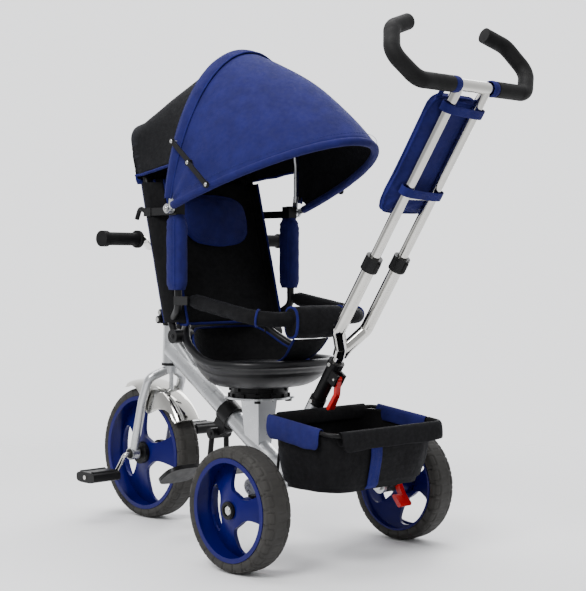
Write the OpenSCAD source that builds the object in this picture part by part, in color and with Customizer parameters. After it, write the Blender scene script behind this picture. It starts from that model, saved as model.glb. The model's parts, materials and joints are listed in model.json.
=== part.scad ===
// Children's tricycle with a swivelling seat, folding canopy and push handle.
// +Z is up, the front wheel points to -Y and the trike's left side is +X.
// The origin is on the floor, under the centre of the whole outline.

/* [Wheels] */
// Diameter of each rear tyre
rear_wheel_d = 240; // [200:5:290]
// Width of each rear tyre
rear_tyre_w = 60; // [50:2:72]
// Diameter of the rear rims, under the tyre
rear_rim_d = 198; // [160:2:200]
// Distance between the centre planes of the rear wheels
rear_track = 464; // [460:4:560]
// Diameter of the front tyre
front_wheel_d = 300; // [250:5:360]
// Width of the front tyre
front_tyre_w = 58; // [48:2:62]
// Diameter of the front rim, under the tyre
front_rim_d = 260; // [215:2:262]
// Distance from the front axle to the rear axle
wheelbase = 575; // [560:5:700]
// Radius of the wheel hubs
hub_r = 20; // [18:1:24]
// Thickness of the rim walls
rim_wall = 4; // [3:0.5:6]
// Radius of the rear stub axles
stub_r = 5; // [4:0.5:6]

/* [Frame] */
// Diameter of the down tube
down_tube_d = 42; // [35:1:50]
// Diameter of the upper frame tube
upper_tube_d = 24; // [20:1:29]
// Length of the head tube
head_tube_len = 85; // [75:1:102]
// Outer diameter of the head tube at its foot
head_tube_d = 38; // [36:1:44]
// Gap from the front tyre up to the head tube
crown_gap = 60; // [55:1:72]
// Distance that the front axle sits ahead of the steering axis
fork_rake = 75; // [62:1:90]
// Distance from the rear axle forward to the seat axis
seat_setback = 200; // [190:2:225]
// Height of the seat flange above the floor
flange_z = 305; // [295:1:350]
// Diameter of the cross beam over the rear axles
beam_d = 28; // [24:1:34]
// Distance of the cross beam ahead of the rear axle
beam_ahead = 45; // [42:1:55]
// Height of the cross beam above the rear axle
beam_lift = 30; // [26:1:36]

/* [Steering] */
// Radius of the fork legs
leg_r = 10; // [8:0.5:11]
// Distance from the wheel plane to each fork leg
leg_x = 50; // [48:1:56]
// Radius of the steerer tube
steerer_r = 11; // [9:0.5:13]
// Radius of the handlebar tube
bar_r = 9; // [8:0.5:11]
// Height of the handlebar grips above the floor
bar_z = 638; // [630:1:660]
// Half of the full handlebar width
bar_half_w = 258; // [230:2:262]
// Length of each handlebar grip
bar_grip_len = 106; // [90:1:112]
// Length of each pedal crank
crank_len = 60; // [50:1:66]
// Radius of the pedal axle rod
crank_r = 5; // [4:0.5:6]

/* [Seat] */
// Radius of the turntable discs
turntable_r = 62; // [52:1:70]
// Half width of the seat tub
tub_half_w = 148; // [125:1:160]
// Half depth of the seat tub
tub_half_d = 143; // [120:1:148]
// Thickness of the tub wall
tub_wall = 4; // [3:0.5:6]
// Distance from the seat axis back to the side tubes
side_tube_back = 76; // [70:1:90]
// Distance from the centre plane to the side tubes
side_tube_x = 160; // [158:1:175]
// Distance from the centre plane to the back tubes
back_tube_x = 148; // [146:1:152]
// Radius of the back frame tubes
back_tube_r = 8; // [6:0.5:9]
// Height of the canopy pivots above the seat flange
pivot_rise = 394; // [385:1:420]

/* [Canopy] */
// Length of the middle bow from pivot to crest
mid_bow_len = 328; // [290:2:350]
// Length of the front bow from pivot to crest
front_bow_len = 392; // [345:2:420]
// Lean of the middle bow towards the visor
mid_bow_lean = 7; // [4:1:12]
// Angle between the middle bow and the front bow
visor_angle = 64.5; // [56:0.5:72]
// Radius of the bow rods
bow_r = 4; // [3:0.5:5]
// Thickness of the canopy cloth and its lining
canopy_cloth = 2.4; // [2:0.2:4]

/* [Push handle] */
// Tilt of the push handle from vertical
handle_tilt = 33.9; // [32:0.1:37]
// Distance along the handle from the socket mouth to the crossbar
handle_len = 725; // [690:5:870]
// Radius of the upper handle tubes
upper_r = 10; // [8:0.5:11]
// Radius of the lower handle tubes
lower_r = 12.8; // [12:0.1:14]
// Half of the distance between the handle tubes
tube_half_gap = 39; // [34:1:46]
// Radius of the foam grips
grip_r = 15; // [14:0.5:18]

/* [Basket] */
// Width of the basket at its rim
basket_w = 306; // [256:2:324]
// Depth of the basket from front to back
basket_d = 186; // [154:2:222]
// Height of the basket rim at the front
basket_z = 288; // [278:1:296]
// Height of the fabric bag of the basket
basket_h = 128; // [107:1:134]

/* [Fits] */
// Radial clearance of turning and sliding fits
fit_gap = 0.05; // [0.02:0.01:0.1]
// Gap between neighbouring parts that never touch
part_gap = 0.4; // [0.3:0.1:1]

/* [Hidden] */
$fn = 48;

// Places worked out from the sizes above
rear_r = rear_wheel_d / 2;
front_r = front_wheel_d / 2;
socket_y = -27;
socket_z = 303;
crossbar_back = socket_y + handle_len * sin(handle_tilt);
rear_y = (wheelbase + front_r - crossbar_back - grip_r) / 2;
front_y = rear_y - wheelbase;
steer_y = front_y + fork_rake;
seat_y = rear_y - seat_setback;
head_z = front_wheel_d + crown_gap;
head_top_z = head_z + head_tube_len;
beam_y = rear_y - beam_ahead;
beam_z = rear_r + beam_lift;
pivot_y = seat_y - side_tube_back;
pivot_z = flange_z + pivot_rise;

// ---------- Helpers ----------
function unit(v) = v / norm(v);
function turn_angle(a, b, c) = acos(max(-1, min(1, unit(b - a) * unit(c - b))));
function setback(a, b, c, bend) = bend * tan(turn_angle(a, b, c) / 2);
function mix(a, b, t) = a + (b - a) * t;
function smooth(t) = let (u = max(0, min(1, t))) u * u * (3 - 2 * u);
function flip_x(p) = [-p[0], p[1], p[2]];

// Draws its children for the left side (1) or mirrored for the right side (-1)
module on_side(side) {
    mirror([side < 0 ? 1 : 0, 0, 0]) children();
}

module both_sides() {
    on_side(1) children();
    on_side(-1) children();
}

module rod(a, b, r) {
    d = b - a;
    translate(a)
        rotate([0, acos(d[2] / norm(d)), atan2(d[1], d[0])])
            cylinder(h = norm(d), r = r);
}

// A bar along X from x0 to x1 through the point (y, z)
module x_bar(x0, x1, y, z, r) {
    translate([x0, y, z]) rotate([0, 90, 0]) cylinder(h = x1 - x0, r = r);
}

// One bend of a tube, from the leg a-b into the leg b-c; it laps over both legs
bend_lap = 1.2;
bend_swell = 0.15;
module elbow(a, b, c, bend, r) {
    along = unit(b - a);
    onward = unit(c - b);
    inward = unit(onward - along * (along * onward));
    start = b - along * setback(a, b, c, bend);
    centre = start + inward * bend;
    normal = cross(-inward, along);
    lap = bend_lap / bend * 180 / PI;
    multmatrix([
        [-inward[0], along[0], normal[0], centre[0]],
        [-inward[1], along[1], normal[1], centre[1]],
        [-inward[2], along[2], normal[2], centre[2]],
        [0, 0, 0, 1]])
        rotate([0, 0, -lap])
            rotate_extrude(angle = turn_angle(a, b, c) + 2 * lap)
                translate([bend, 0]) circle(r = r + bend_swell);
}

// A tube of radius r through the points, with round bends
module tube_run(pts, bend, r) {
    last = len(pts) - 1;
    for (i = [0:last - 1]) {
        along = unit(pts[i + 1] - pts[i]);
        from = i == 0 ? pts[0] : pts[i] + along * setback(pts[i - 1], pts[i], pts[i + 1], bend);
        to = i == last - 1 ? pts[last]
            : pts[i + 1] - along * setback(pts[i], pts[i + 1], pts[i + 2], bend);
        rod(from, to, r);
    }
    for (i = [1:1:last - 1]) elbow(pts[i - 1], pts[i], pts[i + 1], bend, r);
}

// A solid through rings of points that all have the same count, closed at both ends
module skin(rings) {
    n = len(rings[0]);
    m = len(rings);
    walls = [for (j = [0:m - 2], i = [0:n - 1], k = [0:1])
        let (a = j * n + i, b = j * n + (i + 1) % n)
        k == 0 ? [a, b + n, b] : [a, a + n, b + n]];
    polyhedron(
        points = [for (ring = rings, p = ring) p],
        faces = concat(walls, [[for (i = [0:n - 1]) i]], [[for (i = [n - 1:-1:0]) (m - 1) * n + i]]));
}

// A cloth shell between an outer grid of points and an inner grid of the same size
module shell(outer, inner) {
    rows = len(outer);
    cols = len(outer[0]);
    count = rows * cols;
    cells = [for (j = [0:rows - 2], i = [0:cols - 2]) [j * cols + i, j * cols + i + 1,
        (j + 1) * cols + i + 1, (j + 1) * cols + i]];
    edge = concat(
        [for (i = [0:cols - 1]) i],
        [for (j = [1:rows - 1]) j * cols + cols - 1],
        [for (i = [cols - 2:-1:0]) (rows - 1) * cols + i],
        [for (j = [rows - 2:-1:1]) j * cols]);
    e = len(edge);
    polyhedron(
        points = concat([for (row = outer, p = row) p], [for (row = inner, p = row) p]),
        faces = concat(
            [for (c = cells) [c[0], c[1], c[2]]],
            [for (c = cells) [c[0], c[2], c[3]]],
            [for (c = cells) [c[0] + count, c[2] + count, c[1] + count]],
            [for (c = cells) [c[0] + count, c[3] + count, c[2] + count]],
            [for (i = [0:e - 1]) [edge[i], edge[i] + count, edge[(i + 1) % e]]],
            [for (i = [0:e - 1]) [edge[i] + count, edge[(i + 1) % e] + count, edge[(i + 1) % e]]]));
}

function rounded(c, power) = sign(c) * pow(abs(c), power);
// A rounded rectangle about (x, y) at height z; a lower power gives squarer corners
function pad_ring(x, y, z, rx, ry, power, n) =
    [for (i = [0:n - 1]) let (t = 360 * i / n)
        [x + rx * rounded(cos(t), power), y + ry * rounded(sin(t), power), z]];

// ---------- Wheels ----------
rim_lip = 9;
dish_depth = 40;
spoke_thick = 6;
opening_angles = [65, 185, 305];

// A rounded opening between two spokes, in the wheel's plane
function opening(mid_r, half_r, centre, half_angle) =
    [for (i = [0:29]) let (t = 12 * i,
        r = mid_r + half_r * rounded(sin(t), 0.6),
        a = centre + half_angle * rounded(cos(t), 0.6))
        [r * cos(a), r * sin(a)]];

// A wheel rim about X; the dished face with its openings looks to +X
module rim(d, w) {
    r = d / 2;
    seat_r = r - rim_wall;
    rotate([90, 0, 90]) {
        rotate_extrude()
            polygon([[seat_r, -w / 2 + 1], [r, -w / 2 + 1], [r, w / 2 - 1], [r - rim_lip, w / 2 - 1],
                [r - rim_lip, w / 2 - 4], [seat_r, w / 2 - 6]]);
        difference() {
            rotate_extrude()
                polygon([[hub_r - 1, w / 2 - 6], [hub_r + 8, w / 2 - 9], [seat_r + 1, w / 2 - dish_depth],
                    [seat_r + 1, w / 2 - dish_depth - spoke_thick],
                    [hub_r + 6, w / 2 - 9 - spoke_thick * 1.6], [hub_r - 1, w / 2 - 12]]);
            for (a = opening_angles)
                translate([0, 0, -w])
                    linear_extrude(2 * w)
                        polygon(opening((hub_r + seat_r) / 2 + 5, (seat_r - hub_r) / 2 - 9, a, 37));
        }
        difference() {
            translate([0, 0, -w / 2 + 6]) cylinder(h = w - 12, r = hub_r);
            translate([0, 0, -w]) cylinder(h = 2 * w, r = bush_r);
        }
    }
}
bush_r = 10;

module tyre(d, rim_d, w) {
    r = d / 2;
    rim_r = rim_d / 2;
    wall = r - rim_r;
    rotate([90, 0, 90])
        rotate_extrude($fn = 96)
            polygon([[rim_r, -w / 2 + 2], [rim_r + wall * 0.4, -w / 2], [r - wall * 0.2, -w / 2 + 5],
                [r, -w / 2 + 13], [r, w / 2 - 13], [r - wall * 0.2, w / 2 - 5],
                [rim_r + wall * 0.4, w / 2], [rim_r, w / 2 - 2]]);
}

module at_rear_wheel() {
    translate([rear_track / 2, rear_y, rear_r]) children();
}

module rear_rim() {
    color("royalblue") at_rear_wheel() rim(rear_rim_d, rear_tyre_w);
}

module rear_tyre() {
    color("dimgray") at_rear_wheel() tyre(rear_wheel_d, rear_rim_d, rear_tyre_w);
}

// Plastic bush, a press fit in the hub that turns on the stub axle
module rear_bush() {
    color("black")
        at_rear_wheel()
            rotate([0, 90, 0])
                difference() {
                    translate([0, 0, -rear_tyre_w / 2 + 4]) cylinder(h = rear_tyre_w - 14, r = bush_r);
                    translate([0, 0, -rear_tyre_w]) cylinder(h = 2 * rear_tyre_w, r = stub_r + fit_gap);
                }
}

cap_r = 17;
cap_thick = 5;
module hub_cap() {
    color("black")
        at_rear_wheel()
            translate([rear_tyre_w / 2 - 6, 0, 0])
                rotate([0, 90, 0])
                    difference() {
                        union() {
                            cylinder(h = cap_thick, r = cap_r);
                            translate([0, 0, cap_thick]) cylinder(h = 1.5, r = cap_r - 2.5);
                        }
                        translate([0, 0, -1]) cylinder(h = cap_thick + 4, r = 10.5);
                    }
}

bracket_x = rear_track / 2 - rear_tyre_w / 2 - 32;
stub_end = rear_track / 2 + rear_tyre_w / 2 - 1;
nut_thick = 6;
nut_r = 9;

module stub_axles() {
    color("silver")
        both_sides() {
            x_bar(bracket_x - 12, stub_end, rear_y, rear_r, stub_r);
            x_bar(bracket_x - 18, bracket_x - 12, rear_y, rear_r, nut_r);
        }
}

module axle_nuts() {
    color("silver")
        both_sides()
            difference() {
                translate([stub_end - nut_thick - 1, rear_y, rear_r])
                    rotate([0, 90, 0]) cylinder(h = nut_thick, r = nut_r, $fn = 6);
                x_bar(stub_end - 20, stub_end + 20, rear_y, rear_r, stub_r);
            }
}

// ---------- Frame ----------
down_tube_slope = 0.65;
down_tube_top = [0, steer_y + 6, head_z + 31];
function down_tube_at(y) = [0, y, down_tube_top[2] - down_tube_slope * (y - down_tube_top[1])];
tail = down_tube_at(rear_y - 150);
handle_dir = [0, sin(handle_tilt), cos(handle_tilt)];
handle_front = [0, -cos(handle_tilt), sin(handle_tilt)];
// A point along the push handle: t from the socket mouth, x sideways, f to the front of it
function on_handle(t, x = 0, f = 0) =
    [x, rear_y + socket_y, socket_z] + handle_dir * t + handle_front * f;
stem_r = 11;
socket_r = 17;
socket_foot_t = -(socket_z - tail[2]) / cos(handle_tilt);

module seat_post() {
    foot = down_tube_at(seat_y)[2];
    hull() {
        translate([0, seat_y, flange_z - 3.5]) cube([54, 56, 3], center = true);
        translate([0, seat_y - 2, foot]) cube([36, 40, 1], center = true);
    }
    translate([0, seat_y, flange_z - 4])
        linear_extrude(4)
            difference() {
                union() {
                    circle(r = turntable_r + 6);
                    for (a = [45:90:315])
                        rotate(a) translate([turntable_r + 2, 0]) circle(r = 11, $fn = 32);
                }
                for (a = [45:90:315]) rotate(a) translate([turntable_r, 0]) circle(r = 3.2, $fn = 24);
            }
}

// A plate that drops from the cross beam to the stub axle
module axle_bracket() {
    translate([bracket_x - 12, 0, 0])
        rotate([90, 0, 90])
            linear_extrude(8)
                difference() {
                    hull() {
                        translate([beam_y, beam_z]) circle(r = 15, $fn = 32);
                        translate([rear_y, rear_r]) circle(r = 16, $fn = 32);
                    }
                    translate([rear_y, rear_r]) circle(r = stub_r);
                }
}

module main_frame() {
    color("silver")
        difference() {
            union() {
                translate([0, steer_y, head_z])
                    cylinder(h = head_tube_len, r1 = head_tube_d / 2, r2 = head_tube_d / 2 - 2.5);
                tube_run([down_tube_top, tail, [0, beam_y, beam_z]], 60, down_tube_d / 2);
                rod([0, steer_y + 4, head_top_z - 20], down_tube_at(steer_y + 140), upper_tube_d / 2);
                rod(on_handle(socket_foot_t), on_handle(0), socket_r);
                x_bar(-bracket_x + 4, bracket_x - 4, beam_y, beam_z, beam_d / 2);
                both_sides() axle_bracket();
                seat_post();
            }
            translate([0, steer_y, head_z - 1]) cylinder(h = head_tube_len + 2, r = head_bore_r);
            translate([0, steer_y, head_z - 30]) cylinder(h = 30, r = head_tube_d / 2 + 3);
            rod(on_handle(-80), on_handle(5), stem_r);
        }
}

head_bore_r = 14.5;
cup_flange = 6;
module headset_cups() {
    color("black")
        translate([0, steer_y, 0])
            difference() {
                union() {
                    translate([0, 0, head_z]) cylinder(h = 12, r = head_bore_r);
                    translate([0, 0, head_z - cup_flange]) cylinder(h = cup_flange, r = head_tube_d / 2 + 2);
                    translate([0, 0, head_top_z - 12]) cylinder(h = 12, r = head_bore_r);
                    translate([0, 0, head_top_z]) cylinder(h = 4, r = head_tube_d / 2 - 1);
                }
                translate([0, 0, head_z - 20])
                    cylinder(h = head_tube_len + 40, r = steerer_r + fit_gap);
            }
}

flange_top = flange_z;
disc_thick = 11;
spigot_r = 20;
module turntable_base() {
    color("black")
        translate([0, seat_y, flange_top])
            difference() {
                union() {
                    cylinder(h = disc_thick, r = turntable_r);
                    for (a = [0:30:330])
                        rotate(a + 15) translate([turntable_r - 4, -5, 0]) cube([8, 10, disc_thick - 3]);
                    cylinder(h = disc_thick * 2, r = spigot_r);
                }
                for (a = [45:90:315])
                    rotate(a) translate([turntable_r, 0, -1]) cylinder(h = disc_thick + 3, r = 3.2, $fn = 24);
            }
}

module flange_nuts() {
    color("black")
        translate([0, seat_y, flange_z])
            for (a = [45:90:315])
                rotate(a)
                    translate([turntable_r, 0, 0]) {
                        translate([0, 0, -10]) cylinder(h = 6, r = 7.5, $fn = 6);
                        translate([0, 0, -4]) cylinder(h = disc_thick, r = 3.2, $fn = 24);
                    }
}

// ---------- Footrest ----------
clamp_y = rear_y - 292;
clamp_c = down_tube_at(clamp_y);
tube_tilt = atan(down_tube_slope);
rest_hinge = clamp_c + [0, -38, -44];
rest_pin_r = 4;
module along_down_tube(c) {
    translate(c) rotate([-tube_tilt, 0, 0]) children();
}

module footrest_clamp() {
    color("black")
        difference() {
            union() {
                along_down_tube(clamp_c)
                    rotate([90, 0, 0]) cylinder(h = 34, r = down_tube_d / 2 + 6, center = true);
                along_down_tube(clamp_c)
                    translate([-13, -24, -down_tube_d / 2 - 20]) cube([26, 34, 24]);
                x_bar(-14, 14, rest_hinge[1], rest_hinge[2], 12);
                x_bar(-28, 28, rest_hinge[1], rest_hinge[2], rest_pin_r);
                hull() {
                    x_bar(-12, 12, rest_hinge[1], rest_hinge[2], 8);
                    x_bar(-12, 12, clamp_c[1] - 12, clamp_c[2] - 34, 8);
                }
            }
            along_down_tube(clamp_c)
                rotate([90, 0, 0]) cylinder(h = 80, r = down_tube_d / 2, center = true);
        }
}

plate_c = rest_hinge + [0, -14, -82];
module footrest() {
    color("dimgray") {
        both_sides()
            difference() {
                union() {
                    x_bar(14 + part_gap, 26, rest_hinge[1], rest_hinge[2], 12);
                    tube_run([
                        [20, rest_hinge[1], rest_hinge[2]],
                        [24, plate_c[1] + 10, plate_c[2] + 26],
                        [46, plate_c[1], plate_c[2] + 4],
                        [96, plate_c[1], plate_c[2] + 2]], 12, 6);
                    translate([97, plate_c[1], plate_c[2]])
                        rotate([35, 0, 0]) foot_plate();
                }
                x_bar(10, 30, rest_hinge[1], rest_hinge[2], rest_pin_r + fit_gap);
            }
        x_bar(-24, 24, plate_c[1] + 10, plate_c[2] + 26, 6);
    }
}

module foot_plate() {
    difference() {
        linear_extrude(9, center = true)
            polygon([for (p = pad_ring(0, 0, 0, 48, 34, 0.6, 40)) [p[0], p[1]]]);
        for (i = [-1:1])
            translate([i * 28, 0, 6]) cube([16, 44, 8], center = true);
    }
}

// ---------- Basket ----------
basket_y0 = rear_y - 10;
basket_drop = 22;
wire_r = 4;
function rim_z(y) = basket_z - basket_drop * (y - basket_y0) / basket_d;
function rim_pt(x, y) = [x, y, rim_z(y)];
module basket_frame() {
    x = basket_w / 2;
    y1 = basket_y0 + basket_d;
    color("black") {
        tube_run([rim_pt(0, basket_y0), rim_pt(x, basket_y0), rim_pt(x, y1), rim_pt(-x, y1),
            rim_pt(-x, basket_y0), rim_pt(0, basket_y0)], 26, wire_r);
        both_sides()
            tube_run([
                [x - 60, basket_y0 - 1, basket_z],
                [x - 60, basket_y0 - 18, basket_z - 14],
                [x - 60, beam_y + 2, beam_z + beam_d / 2 + 3.5]], 10, 3);
    }
}

bag_wall = 3;
function basket_ring(t, inset) =
    let (z0 = basket_z - wire_r - 1.2, y1 = basket_y0 + basket_d, k = mix(1, 0.86, t) - 0)
    [for (p = pad_ring(0, 0, 0, 1, 1, 0.42, 36))
        let (y = (basket_y0 + y1) / 2 - 8 * t + p[1] * (basket_d / 2 * k - inset),
            x = p[0] * (basket_w / 2 * k - inset))
        [x, y, mix(rim_z(y) - wire_r - 1.2, basket_z - 8 - basket_h, t)]];
module basket_bag() {
    color("midnightblue")
        skin([basket_ring(1, 3), basket_ring(0.55, -4), basket_ring(0, 0), basket_ring(0, bag_wall),
            basket_ring(0.55, bag_wall - 4),
            [for (p = basket_ring(1, bag_wall + 3)) [p[0], p[1], p[2] + bag_wall]]]);
}

// ---------- Brakes ----------
brake_x0 = bracket_x - 4;
brake_x1 = rear_track / 2 - rear_tyre_w / 2 - 2;
brake_pin = [0, rear_y + 22, rear_r + 8];
lever_w = 12;
lever_x = brake_x1 - 4 - lever_w;
module brake_housing() {
    difference() {
        union() {
            x_bar(brake_x0, brake_x1, rear_y, rear_r, 15);
            translate([brake_x0, rear_y - 10, rear_r]) cube([brake_x1 - brake_x0, 26, 22]);
            hull() {
                x_bar(brake_x0, lever_x - part_gap, brake_pin[1], brake_pin[2], 8);
                x_bar(brake_x0, lever_x - part_gap, rear_y, rear_r, 12);
            }
        }
        x_bar(brake_x0 - 10, brake_x1 + 10, rear_y, rear_r, stub_r);
        translate([lever_x - part_gap, rear_y + 8, rear_r - 20]) cube([40, 50, 60]);
    }
    x_bar(lever_x - 10, brake_x1 - 2, brake_pin[1], brake_pin[2], 3);
}

module brake_housings() {
    color("black") both_sides() brake_housing();
}

module brake_pedal() {
    color("red")
        difference() {
            union() {
                x_bar(lever_x, lever_x + lever_w, brake_pin[1], brake_pin[2], 9);
                hull() {
                    x_bar(lever_x, lever_x + lever_w, brake_pin[1] + 2, brake_pin[2] - 3, 6);
                    x_bar(lever_x, lever_x + lever_w, brake_pin[1] + 20, brake_pin[2] - 36, 5);
                }
                hull() {
                    x_bar(lever_x - 22, lever_x + lever_w, brake_pin[1] + 16, brake_pin[2] - 26, 4);
                    x_bar(lever_x - 22, lever_x + lever_w, brake_pin[1] + 30, brake_pin[2] - 42, 5);
                }
            }
            x_bar(lever_x - 30, lever_x + 40, brake_pin[1], brake_pin[2], 3 + fit_gap);
        }
}

// ---------- Fork, handlebar and front wheel ----------
axle_front = [0, front_y, front_r];
crown_z = head_z - cup_flange;
clamp_z = head_top_z + 4.5;
clamp_h = 34;

module fork() {
    color("silver")
        difference() {
            union() {
                translate([0, steer_y, crown_z - 16]) cylinder(h = 15.6, r = 17);
                translate([0, steer_y, crown_z - 16]) cylinder(h = clamp_z + clamp_h - crown_z + 16, r = steerer_r);
                both_sides() {
                    tube_run([
                        [9, steer_y - 2, crown_z - 10],
                        [leg_x - 2, steer_y - 18, crown_z - 27],
                        [leg_x, front_y + 34, front_r + 122],
                        [leg_x, front_y, front_r]], 22, leg_r);
                    x_bar(leg_x - boss_half_w, leg_x + boss_half_w, front_y, front_r, 14);
                }
                translate([0, steer_y + 2, guard_top_z - 9]) cylinder(h = crown_z - 16 - guard_top_z + 10, r = guard_bolt_r);
                translate([0, steer_y + 2, guard_top_z - 12]) cylinder(h = 5, r = 8, $fn = 6);
            }
            x_bar(-leg_x - 20, leg_x + 20, front_y, front_r, fork_bush_r);
        }
}
fork_bush_r = 8;
boss_half_w = 10.5;
guard_bolt_r = 5;
guard_r = front_r + 19;
guard_top_z = front_r + sqrt(pow(guard_r, 2) - pow(fork_rake, 2));

module fork_bushes() {
    color("black")
        both_sides()
            difference() {
                union() {
                    x_bar(leg_x - boss_half_w, leg_x + boss_half_w, front_y, front_r, fork_bush_r);
                    x_bar(leg_x + boss_half_w, leg_x + boss_half_w + 1.5, front_y, front_r, 11);
                }
                x_bar(leg_x - 20, leg_x + 20, front_y, front_r, crank_r + fit_gap);
            }
}

guard_half_w = leg_x - leg_r - 2.4;
guard_wall = 1.6;
module mudguard() {
    color("gainsboro")
        difference() {
            translate(axle_front) guard_band();
            translate([0, steer_y + 2, guard_top_z - 30]) cylinder(h = 60, r = guard_bolt_r);
        }
}

module guard_band() {
            rotate([90, 0, 90])
                rotate([0, 0, 30])
                    rotate_extrude(angle = 78, $fn = 72)
                        polygon([
                            [guard_r - 30, -guard_half_w], [guard_r - 6, -guard_half_w + 2],
                            [guard_r, -guard_half_w + 12], [guard_r, guard_half_w - 12],
                            [guard_r - 6, guard_half_w - 2], [guard_r - 30, guard_half_w],
                            [guard_r - 30, guard_half_w - guard_wall],
                            [guard_r - 6 - guard_wall, guard_half_w - 2 - guard_wall],
                            [guard_r - guard_wall, guard_half_w - 13], [guard_r - guard_wall, -guard_half_w + 13],
                            [guard_r - 6 - guard_wall, -guard_half_w + 2 + guard_wall],
                            [guard_r - 30, -guard_half_w + guard_wall]]);
}

// Black plastic clamp that holds the handlebar stem over the head tube
module stem_clamp() {
    color("black")
        difference() {
            union() {
                translate([0, steer_y, clamp_z]) cylinder(h = clamp_h, r = 21);
                both_sides() x_bar(10, 30, steer_y - 8, clamp_z + 9, 9);
                both_sides() x_bar(10, 27, steer_y - 4, clamp_z + 25, 8);
                translate([-15, steer_y, clamp_z]) cube([30, 26.4, clamp_h]);
            }
            translate([0, steer_y, clamp_z - 1]) cylinder(h = clamp_h + 2, r = steerer_r);
        }
}

module stem_bolts() {
    color("silver")
        both_sides() {
            x_bar(30, 33, steer_y - 8, clamp_z + 9, 5.5);
            x_bar(27, 30, steer_y - 4, clamp_z + 25, 5);
        }
}

// Box-shaped cover behind the stem
module stem_cover() {
    color("black")
        translate([0, steer_y + 40, clamp_z + clamp_h / 2 - 17])
            linear_extrude(54, center = true)
                polygon([for (p = pad_ring(0, 0, 0, 17, 13.6, 0.5, 32)) [p[0], p[1]]]);
}

stem_top_z = clamp_z + clamp_h;
sweep_y = seat_y - 206;
module handlebar() {
    color("silver") {
        translate([0, steer_y, stem_top_z]) cylinder(h = 44, r = bar_r + 3);
        tube_run([
            [0, steer_y, stem_top_z + 30],
            [0, steer_y, bar_z - 60],
            [0, steer_y + 12, bar_z - 14]], 30, bar_r);
        tube_run([
            [bar_half_w - 4, sweep_y, bar_z],
            [bar_half_w - bar_grip_len - 15, sweep_y - 14, bar_z],
            [70, steer_y + 12, bar_z - 14],
            [-70, steer_y + 12, bar_z - 14],
            [-bar_half_w + bar_grip_len + 15, sweep_y - 14, bar_z],
            [-bar_half_w + 4, sweep_y, bar_z]], 30, bar_r);
    }
}

module handlebar_grips() {
    a = [bar_half_w - bar_grip_len, sweep_y - 12.6, bar_z];
    b = [bar_half_w, sweep_y, bar_z];
    along = unit(b - a);
    color("black")
        both_sides()
            difference() {
                union() {
                    rod(a, b, 14);
                    rod(a, a + along * 6, 19);
                    rod(b - along * 14, b, 17);
                }
                tube_run([
                    [bar_half_w - 4, sweep_y, bar_z],
                    [bar_half_w - bar_grip_len - 15, sweep_y - 14, bar_z]], 30, bar_r);
            }
}

module front_rim() {
    color("royalblue") translate(axle_front) rim(front_rim_d, front_tyre_w);
}

module front_tyre() {
    color("dimgray") translate(axle_front) tyre(front_wheel_d, front_rim_d, front_tyre_w);
}

// Black clutch bodies on both sides of the front hub
module hub_clutch() {
    color("black")
        difference() {
            union() {
                x_bar(-front_tyre_w / 2 + 4, front_tyre_w / 2 - 4, front_y, front_r, bush_r);
                x_bar(front_tyre_w / 2 - 6, front_tyre_w / 2 + 5, front_y, front_r, hub_r + 5);
                x_bar(-front_tyre_w / 2 - 5, -front_tyre_w / 2 + 6, front_y, front_r, hub_r + 5);
            }
            x_bar(-80, 80, front_y, front_r, crank_r);
        }
}

crank_dir = [0, -0.6, -0.8];
crank_x = leg_x + 24;
pedal_x0 = crank_x + 11;
pedal_len = 74;
module crank_axle() {
    low = axle_front + crank_dir * crank_len;
    high = axle_front - crank_dir * crank_len;
    x_end = pedal_x0 + pedal_len + 2;
    color("silver")
        tube_run([
            low + [x_end, 0, 0], low + [crank_x, 0, 0], axle_front + [crank_x, 0, 0],
            axle_front - [crank_x, 0, 0], high - [crank_x, 0, 0], high - [x_end, 0, 0]], 8.5, crank_r);
}

module pedal(c) {
    color("black")
        translate(c)
            difference() {
                union() {
                    translate([pedal_x0, 0, 0])
                        rotate([90, 0, 90])
                            linear_extrude(pedal_len)
                                polygon([for (p = pad_ring(0, 0, 0, 34, 12, 0.55, 32)) [p[0], p[1]]]);
                    x_bar(pedal_x0 + 4, pedal_x0 + pedal_len - 4, -22, 9, 5);
                    x_bar(pedal_x0 + 4, pedal_x0 + pedal_len - 4, 22, 9, 5);
                }
                x_bar(pedal_x0 - 10, pedal_x0 + pedal_len + 10, 0, 0, crank_r + fit_gap);
            }
}

module pedal_left() {
    pedal(axle_front + crank_dir * crank_len);
}

module pedal_right() {
    mirror([1, 0, 0]) pedal(axle_front - crank_dir * crank_len);
}

// ---------- Seat ----------
disc_gap = 0.3;
top_disc_z = flange_top + disc_thick + disc_gap;
module turntable_top() {
    color("black")
        translate([0, seat_y, top_disc_z])
            difference() {
                union() {
                    cylinder(h = disc_thick, r = turntable_r - 2);
                    for (a = [0:40:320])
                        rotate(a) translate([turntable_r - 6, -6, 2]) cube([8, 12, disc_thick - 3]);
                }
                translate([0, 0, -1]) cylinder(h = disc_thick + 3, r = spigot_r + fit_gap);
            }
}

tub_z = top_disc_z + disc_thick;
tub_points = 40;
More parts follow.
